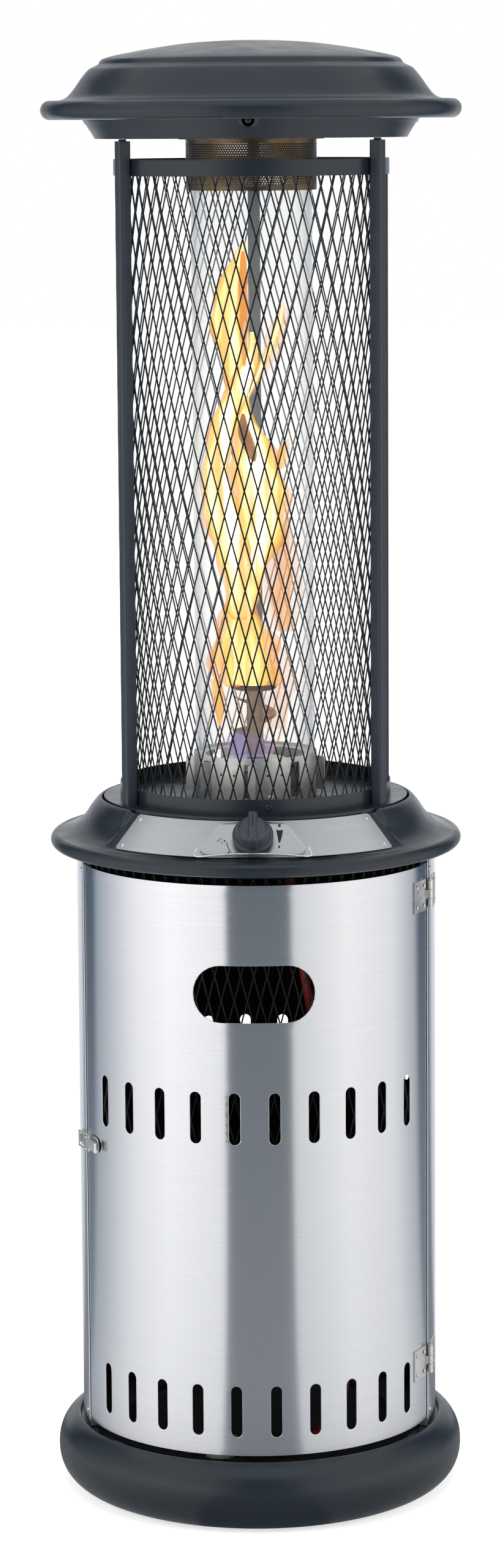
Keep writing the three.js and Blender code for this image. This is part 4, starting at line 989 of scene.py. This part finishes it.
def sleeve():
    """Perforated flue sleeve: six-sided cells with a hole in each, two hems and a flange."""
    r, z0, z1 = 77.5, low("flue_sleeve"), high("flue_sleeve") - 1.0
    columns, hole = 156, 1.02
    pitch = 2 * pi * r / columns
    side, row_height = pitch / sqrt(3), pitch * sqrt(3) / 2
    rows = int((z1 - z0 - 7) / row_height)
    first = z0 + (z1 - z0 - (rows - 1) * row_height) / 2
    corners = [(sin(radians(60 * k)), cos(radians(60 * k))) for k in range(6)]
    points, faces = [], []
    for j in range(rows):
        for i in range(columns):
            u, v, start = (i + j % 2 / 2) * pitch, first + j * row_height, len(points)
            for size in (side, hole):
                points += [polar(r, degrees((u + size * x) / r), v + size * y) for x, y in corners]
            for k in range(6):
                a, b = start + k, start + (k + 1) % 6
                faces.append((b, a, a + 6, b + 6))
    thicken(put("perforated_sleeve", points, faces, sleeve_metal, "flue_sleeve", closed=False), 0.8, 0)
    hem = side * 0.4 - 0.3
    sections = ((r - 0.9, r + 0.1, z0, first - hem), (r - 0.5, r + 9, z1, z1 + 1),
                (r - 0.9, r + 0.1, first + (rows - 1) * row_height + hem, z1))
    put("sleeve_hems", *joined(turn(box_line(*section)) for section in sections), sleeve_metal)


sleeve()

# Glass tube
z0, z1 = low("glass_tube"), high("glass_tube")
section = [(69.8, z0 + 0.4), (70.2, z0), (71.6, z0), (72, z0 + 0.4), (72, z1 - 0.4), (71.6, z1), (70.2, z1),
           (69.8, z1 - 0.4)]
turned("glass_cylinder", section, glass, "glass_tube", smooth=50)


# Burner cup: slots whose tabs are bent out

CUP_R, CUP_SLOTS, FIRST_SLOT, SLOT_WIDTH = 74.5, 8, 0.8, 13.4


def wrapped(angle):
    return (angle + 180) % 360 - 180


def cup():
    r, pitch = CUP_R, 360 / CUP_SLOTS
    z0, z1 = cup_z + 5.5, cup_z + 47.5
    around = pi * r
    step = 2 * around / 128
    between, apart, hole_z, hole_r = 18.5, 6.7, cup_z + 33, 1.5
    holes = []
    for i in range(CUP_SLOTS):
        a = wrapped(FIRST_SLOT + i * pitch)
        end = radians(a) * r
        if end - SLOT_WIDTH < -around:
            continue
        holes.append(rounded(box_line(end - SLOT_WIDTH, end, z0, z1), 2.2, 3))
        for off in (-apart, apart):
            holes.append(circle(radians(wrapped(a + between + off)) * r, hole_z, hole_r, 12))
    flat, faces = sheet(-around, around, cup_z, cup_top, holes, step, 5)
    thicken(put("cup_wall", on_cylinder(flat, r), faces, stainless, "burner_cup", closed=False), 1.0, 0.25)
    turned("cup_floor", box_line(32, r - 0.4, cup_z, cup_z + 1), stainless)
    tab = rounded([(0, z0 + 0.5), (0, z1 - 0.5), (-13, z1 - 0.5), (-13, z0 + 0.5)], 2.5, 4)
    leaf = [spun(s, wall, z, 50) for wall in (0.5, -0.5) for s, z in tab]
    tabs = joined(([spun(x, y - (r - 0.5), z, FIRST_SLOT + i * pitch) for x, y, z in leaf], bar(2, len(tab)))
                  for i in range(CUP_SLOTS))
    soften(put("cup_tabs", *tabs, stainless), 0.25)
    seat_top = high("glass_seat")
    seat = box_line(60, r - 1.3, seat_top - 1.5, seat_top)
    soften(turned("seat_ring", seat, stainless, "glass_seat"), 0.3)


cup()


def holder():
    """Flame holder: a stem with a top plate and a perforated vane that winds round it."""
    z0, z1 = low("flame_holder"), high("flame_holder")
    section = [(9.2, z0), (10, z0), (10, z1 - 9), (24, z1 - 7), (26, z1 - 5), (26, z1 - 0.5), (25, z1),
               (24.4, z1 - 0.6), (24.6, z1 - 4.5), (23, z1 - 5.8), (9.2, z1 - 8)]
    turned("holder_stem", section, holder_metal, "flame_holder", 72, smooth=50)
    points = []
    turns, steps, stem, widest = 1.6, 96, 10.3, 28.5
    for i in range(steps + 1):
        t = i / steps
        a = radians(60 + 360 * turns * t)
        reach = widest * sin(pi * min(1, t * 3) / 2) * (1 - 0.12 * t)
        for k in range(5):
            r = stem + (max(reach, 11) - stem) * k / 4
            z = z0 + 6 + (z1 - z0 - 26) * t + 5 * (k / 4) ** 2
            points.append((r * sin(a), -r * cos(a), z))
    thicken(put("holder_vane", points, strips(steps + 1, 5), vane_metal, smooth=60, closed=False), 0.8, 0)
    z0, z1 = low("burner_head"), high("burner_head")
    head = z1 - 12.5
    section = [(0, z1 - 0.5), (20, z1), (37, z1), (40, z1 - 2.5), (40, head + 2), (38, head), (14, head - 3),
               (14, z0), (12.5, z0), (12.5, head), (0, head)]
    turned("burner_body", section, stainless, "burner_head", 72)


holder()


# Knob

KNOB_LIFT = 6.0


def on_knob(points):
    return [on_floor(x, y, z + KNOB_LIFT) for x, y, z in points]


def knob():
    profile = [(0, 0), (23.2, 0), (24, 0.9), (24, 3.6), (23.2, 4.8), (20.8, 5.4)]
    profile += eased([(20.6, 6), (19.6, 11), (17.4, 16.5), (14.6, 20), (11, 21.6), (0, 22.2)], 5)
    steps = 72
    put("knob_body", on_knob(lathe(profile, steps)), strips(steps, len(profile), ring=True), plastic,
        "control_knob", "knob_body", smooth=50)
    work = bmesh.new()
    for z, half, up, down in ((3.0, 6.6, 23.4, 22.4), (15, 6.0, 23.0, 21.0), (21.5, 5.2, 21.0, 18.6),
                              (24, 3.4, 18.2, 16.2)):
        for x, y in rounded([(half, -down), (half, up), (-half, up), (-half, -down)], 3.2, 5):
            work.verts.new((x, y, z))
    bmesh.ops.convex_hull(work, input=work.verts)
    bmesh.ops.delete(work, geom=[v for v in work.verts if not v.link_faces], context="VERTS")
    work.verts.index_update()
    points = on_knob([v.co for v in work.verts])
    faces = [tuple(v.index for v in face.verts) for face in work.faces]
    work.free()
    soften(put("knob_grip", points, faces, plastic, body="knob_body", smooth=40), 0.8, 3, 25)
    points, faces = prism(box_line(-0.7, 0.7, 0.5, 17.4), 23.6, 24.15)
    put("knob_pointer", on_knob(points), faces, ink, body="knob_body", slot="black_plastic")


knob()


# Rivets and screws

def rivets(name, places, size, height, material=zinc, body="root", cross=0.0):
    """Turned heads on a surface; cross is the half width of a screw's recess."""
    profile = [(size, -0.4), (size, 0.15), (size * 0.9, height * 0.5), (size * 0.62, height * 0.85),
               (size * 0.45, height * 0.95), (size * 0.25, height), (0, height)]
    n, steps = len(profile), 20
    head = [Vector(p) for p in lathe(profile, steps)]
    for p in head:
        if cross and p.xy.length < size * 0.6 and min(abs(p.x), abs(p.y)) < cross:
            p.z -= 0.9
    faces = strips(steps, n, ring=True) + [tuple(range((steps - 1) * n, -1, -n))]
    parts = []
    for origin, normal in places:
        turned_to = Vector(normal).to_track_quat("Z", "Y")
        parts.append(([Vector(origin) + turned_to @ p for p in head], faces))
    put(name, *joined(parts), material, body=body, smooth=50)


def radial(r, azimuths, heights):
    return [(polar(r, a, z), polar(1, a, 0)) for a in azimuths for z in heights]


def on_plate(azimuth, v):
    return plate_point(radians(azimuth) * MEAN_R, v), polar(ABOVE.x, azimuth, ABOVE.y)


hinges = [z + h for z in (shell_top - 48.2, channel_z + 86.6) for h in (-12, 12)]
rivets("panel_rivets", [on_plate(a, v) for a in (-43.6, 43.6) for v in (7.5, PLATE_LENGTH - 6.5)],
       2.9, 1.5)
rivets("ring_screw", radial(RING_R, (6.2, 126, -114), [guard_z + 9.5]), 4.4, 2.6, dark_screw_and_shade, cross=0.7)
rivets("cup_screw", radial(CUP_R, (15, 195), [cup_z + 6.5]), 3.4, 2.4, cross=0.6)
rivets("shell_rivets", radial(SHELL_R, (-74.2, 74.2), (channel_z + 20, shell_top - 19)), 2.6, 1.4)
rivets("shell_screws_rear", radial(SHELL_R, (120, 180, 240), (channel_z + 12, shell_top - 10)), 3.0, 1.6,
       cross=0.55)
# The pan screws' dark colour is painted shade under the hat.
rivets("pan_screws", radial(195.5, (0, 90, 180, 270), [pan_z + 21]), 4.2, 2.4, dark_screw_and_shade)
rivets("hinge_rivets_door", radial(218.3, (62.9, 68.3), hinges), 2.7, 1.0, body="door_body")
rivets("hinge_rivets_shell", radial(219.6, (75.2, 79.6), hinges), 2.7, 1.0)


# Flame: nested tongues, deep orange outside and pale inside

def flame_skin(name, color, alpha, power=1.0):
    mat = bpy.data.materials.new(name)
    nodes = Nodes(mat)
    streaks = nodes.noise(1.0, 2.0, (90, 90, 9))
    streaks = nodes.spread(streaks, alpha * 0.4, min(1.0, alpha * 1.4), 0.35, 0.65)
    glow = nodes.add("Emission", (*color, 1), power)
    nodes.add("OutputMaterial", nodes.add("MixShader", streaks, nodes.add("BsdfTransparent"), glow))
    return mat


# Colour, opacity and power
LOOKS = {
    "orange": ((1.0, 0.38, 0.03), 0.42),
    "amber": ((1.0, 0.68, 0.1), 0.42, 1.1),
    "yellow": ((1.0, 0.9, 0.24), 0.5, 1.5),
    "pale": ((1.0, 0.97, 0.6), 0.66, 2.4),
    "white": ((1.0, 1.0, 0.97), 0.8, 4.5),
    "ember": ((0.8, 0.27, 0.01), 0.75),
    "dark": ((0.16, 0.05, 0.02), 0.6),
    "veil": ((0.82, 0.4, 0.16), 0.2),
    "haze": ((1.0, 0.68, 0.42), 0.13),
    "blue": ((0.25, 0.3, 0.95), 0.12),
}
SKINS = {name: flame_skin("flame_" + name, *look) for name, look in LOOKS.items()}


def tongue(name, rows, skins, depth=0.6, y=0.0, lean=0.0):
    """Nested closed bodies with oval sections, from rows of height, left edge and right edge, tip first.
    lean pushes the inner ones to one side."""
    rows = eased(rows, 4)
    steps = 28
    for skin, scale in skins:
        points = []
        for z, left, right in rows:
            full = (right - left) / 2
            half = max(full * scale, 0.3)
            middle = (left + right) / 2 + lean * (full - half) + 0.12 * half * sin(z / 9 + 5 * scale)
            for k in range(steps):
                a = 2 * pi * k / steps
                points.append((middle + half * cos(a), y + half * depth * sin(a), z))
        obj = put(f"flame_{name}_{skin}", points, bar(len(rows), steps), SKINS[skin], smooth=80, slot="")
        obj.visible_shadow = False
        obj.visible_glossy = False


PAIR = (("orange", 1.0), ("amber", 0.5))
FULL = (("orange", 1.0), ("amber", 0.9), ("yellow", 0.78), ("pale", 0.6), ("white", 0.42))
BRIGHT = (("orange", 1.0), ("amber", 0.92), ("yellow", 0.82), ("pale", 0.7), ("white", 0.54))
tongue("left", [(1521, -10, -8), (1500, -24, -7), (1473, -38, -7), (1446, -48, -8), (1424, -50, -10),
                (1403, -46, -8), (1381, -39, -6), (1359, -34, -7), (1338, -31, -10), (1316, -28, -15)],
       FULL[:4], y=2, lean=-0.25)
tongue("crossing", [(1412, -3, 2), (1392, -7, 6), (1370, -17, 6), (1349, -30, -1), (1322, -44, -13),
                    (1289, -55, -23), (1257, -60, -29), (1225, -64, -25), (1198, -62, -16), (1171, -55, -9),
                    (1144, -46, -3), (1122, -39, 2), (1101, -37, 6), (1082, -34, 2), (1068, -25, -9)],
       BRIGHT, y=-8, lean=0.45)
tongue("lobe", [(1338, -14, -7), (1311, -22, 1), (1284, -26, 18), (1257, -28, 32), (1230, -28, 40),
                (1203, -27, 43), (1176, -25, 40), (1155, -24, 31), (1133, -22, 19), (1112, -20, 10),
                (1090, -22, 4)], FULL, y=9, lean=0.1)
tongue("lower", [(1106, -27, -5), (1085, -36, 2), (1063, -45, 13), (1042, -52, 27), (1020, -54, 32),
                 (1004, -53, 33), (990, -50, 31), (984, -27, 16)],
       (("orange", 1.0), ("amber", 0.8), ("yellow", 0.6), ("pale", 0.36)), y=2)
tongue("right", [(1447, 35, 37), (1430, 28, 44), (1411, 18, 42), (1392, 12, 35), (1370, 3, 22),
                 (1349, -4, 9), (1333, -7, -3)],
       (("veil", 1.0), ("amber", 0.5), ("pale", 0.22)), y=6, lean=-0.3)
tongue("streak", [(1508, -12, -9), (1478, -15, -6), (1446, -15, -5), (1413, -14, -5), (1386, -13, -7),
                  (1372, -11, -8)], (("orange", 1.25), ("ember", 1.0)), y=-16)
tongue("spot", [(1316, -13, -10), (1300, -17, -4), (1284, -15, 1), (1268, -8, 4), (1259, -1, 3)],
       (("dark", 1.0), ("ember", 0.7)), y=-22)
tongue("small", [(1284, 41, 43), (1273, 30, 43), (1261, 27, 41), (1249, 27, 37)], PAIR)
tongue("veil", [(1189, 39, 44), (1168, 29, 46), (1144, 19, 53), (1117, 11, 57), (1090, 8, 56),
                (1068, 14, 53), (1052, 23, 45)], (("veil", 1.0), ("orange", 0.5)), y=6)
tongue("low_veil", [(1036, 18, 28), (1020, 19, 45), (1001, 21, 49), (982, 16, 48), (961, 12, 44),
                    (934, 7, 35)], (("veil", 1.0),), y=6)
tongue("wisp", [(995, -54, -46), (977, -52, -37), (955, -47, -38), (939, -45, -41)], PAIR, y=-4)
tongue("base", [(984, -50, 36), (966, -52, 42), (945, -49, 38), (923, -47, 32), (904, -44, 26)],
       (("haze", 1.0),), depth=0.9)
tongue("glow", [(933, -27, 1), (920, -40, 21), (909, -43, 26), (899, -38, 20)],
       (("blue", 1.0), ("blue", 0.6)), depth=0.9)


# Carried-over pieces get their finishes, and softened edges where they show

CARRIED = (
    # The cabinet's floor plate is dark as painted shade.
    (inner_painted_shade, "floor_plate"),
    (black, "top_ring"),
    (ceramic, "igniter_electrode"),
    (black_plastic, "tilt_switch"),
    (copper, "thermocouple gas_pipe"),
    (brass, "gas_injector hose_elbow hose_nut gas_valve"),
    # Brackets inside get the darker zinc as painted shade.
    (zinc_painted_shade, "valve_bracket deck_bracket_left deck_bracket_right deck_bracket_rear"),
    (zinc, "injector_cradle gas_regulator valve_stem"),
    (zinc, "latch_keeper latch_base latch_pin latch_lever latch_bail"),
    (zinc, "hinge_upper_door_leaf hinge_upper_shell_leaf hinge_upper_pin"),
    (zinc, "hinge_lower_door_leaf hinge_lower_shell_leaf hinge_lower_pin"),
)
for material, nodes in CARRIED:
    for node in nodes.split():
        obj = frame["nodes"][node]
        obj.data.materials.clear()
        obj.data.materials.append(material)
        shade(obj.data, 50)
        if node.startswith(("latch", "hinge")):
            soften(obj, 0.3, 2, 50)


# Floor, boards, lamps and world

def floor():
    bpy.ops.mesh.primitive_plane_add(size=60, location=(0, 0, 0))
    plane = bpy.context.object
    plane.name = "studio_floor"
    made = Finish("studio_floor", (0.9, 0.9, 0.9, 1), 0.8)
    made.tint(made.noise(0.5, 2), (0.9, 0.9, 0.9, 1), (0.92, 0.92, 0.92, 1))
    made.set(Specular_IOR_Level=0.0, Emission_Color=(1, 1, 1, 1), Emission_Strength=0.62)
    plane.data.materials.append(made.mat)
    plane.visible_glossy = False


floor()


def reflected(name, points, faces):
    """A piece of the studio that only shows in reflections, and the nodes of its material."""
    mesh = bpy.data.meshes.new(name)
    mesh.from_pydata(points, [], faces)
    mesh.materials.append(bpy.data.materials.new(name))
    obj = linked(name, mesh)
    obj.visible_camera = False
    obj.visible_shadow = False
    obj.visible_diffuse = False
    obj.visible_transmission = False
    return obj, Nodes(mesh.materials[0])


def aimed(obj, place, direction):
    obj.location = place
    obj.rotation_mode = "QUATERNION"
    obj.rotation_quaternion = Vector(direction).to_track_quat("Z", "Y")


board, nodes = reflected("card_top", [(x, y, 0) for x, y in box_line(-2, 2, -2, 2)], [(0, 1, 2, 3)])
aimed(board, (0, -0.3, 4.2), (0, 0, -1))
nodes.add("OutputMaterial", nodes.add("Emission", (0.8, 0.82, 0.85, 1)))

# What the steel mirrors, round the heater: azimuth from the front in degrees, then colour
GAP = (0.05, 0.085, 0.13)
SURROUND = [
    (-180, (1.15, 1.18, 1.22)), (-168, (1.05, 1.08, 1.12)), (-160, (0.8, 0.84, 0.9)),
    (-149, (0.75, 0.79, 0.86)), (-142, GAP), (-128, GAP), (-121, (0.38, 0.44, 0.5)),
    (-106, (0.64, 0.66, 0.7)), (-80, (1.15, 1.15, 1.16)), (-55, (1.36, 1.36, 1.35)),
    (-19, (1.15, 1.15, 1.15)), (-17, (0.12, 0.14, 0.165)), (21.5, (0.13, 0.15, 0.175)),
    (23.5, (0.86, 0.87, 0.88)), (60, (1.2, 1.2, 1.19)), (95, (1.02, 1.02, 1.04)),
    (113, (0.64, 0.66, 0.69)), (120, (0.5, 0.55, 0.6)), (127, GAP), (143, GAP),
    (150, (0.72, 0.76, 0.82)), (160, (0.8, 0.84, 0.9)), (168, (1.05, 1.08, 1.12)),
    (180, (1.15, 1.18, 1.22)),
]


def surroundings():
    """Disc on the floor and a far wall: greyer and darker near the heater as a painted shadow of it on the
    floor, and darker high up.
    """
    steps = 64
    section = ((0.1, 0.0015), (7.5, 0.0015), (7.5, 8.0))
    _, nodes = reflected("studio_surround", lathe(section, steps), strips(steps, len(section), ring=True))
    place = nodes.add("TexCoord", out="Object")
    x, y, z = nodes.add("SeparateXYZ", place).node.outputs
    azimuth = nodes.add("Math", x, nodes.add("Math", y, -1, operation="MULTIPLY"), operation="ARCTAN2")
    part = nodes.spread(azimuth, 0.0, 1.0, -pi, pi)
    color = nodes.ramp(part, [((angle + 180) / 360, (*shade, 1)) for angle, shade in SURROUND])
    far = nodes.add("VectorMath", place, operation="LENGTH", out="Value")
    # Greyer and darker near the heater: a painted shadow of the heater on the floor that the steel mirrors.
    color = nodes.add("MixRGB", nodes.spread(far, 0.42, 0.0, 0.6, 5.5), color, (0.5, 0.52, 0.55, 1))
    power = nodes.add("Math", nodes.spread(far, 0.35, 1.0, 0.22, 0.6), nodes.spread(z, 1.0, 0.75, 1.1, 2.6),
                      operation="MULTIPLY")
    nodes.add("OutputMaterial", nodes.add("Emission", color, power))


surroundings()


def lamp(name, place, width, height, power):
    data = bpy.data.lights.new(name, "AREA")
    data.shape = "RECTANGLE"
    data.size, data.size_y = width, height
    data.energy = power
    obj = linked(name, data)
    aimed(obj, place, Vector(place) - Vector((0, 0, 1.0)))
    obj.visible_glossy = False


lamp("lamp_left", (-3.0, -2.6, 2.6), 1.6, 2.6, 60)
lamp("lamp_right", (3.0, -2.6, 2.6), 1.6, 2.6, 60)
lamp("lamp_top", (0, -0.6, 4.6), 3.0, 3.0, 70)


def world():
    """White to the camera, in reflections and through glass; a soft grey light on the object."""
    bpy.context.scene.world = bpy.data.worlds.new("studio")
    nodes = Nodes(bpy.context.scene.world)
    rays = nodes.add("LightPath").node.outputs
    seen = nodes.add("Math", rays["Is Camera Ray"], rays["Is Glossy Ray"], operation="MAXIMUM")
    seen = nodes.add("Math", seen, rays["Is Transmission Ray"], operation="MAXIMUM")
    lit, shown = (nodes.add("Background", (1, 1, 1, 1), strength) for strength in (0.45, 1.0))
    nodes.add("OutputWorld", nodes.add("MixShader", seen, lit, shown))


world()
bpy.context.scene.view_settings.view_transform = "Standard"
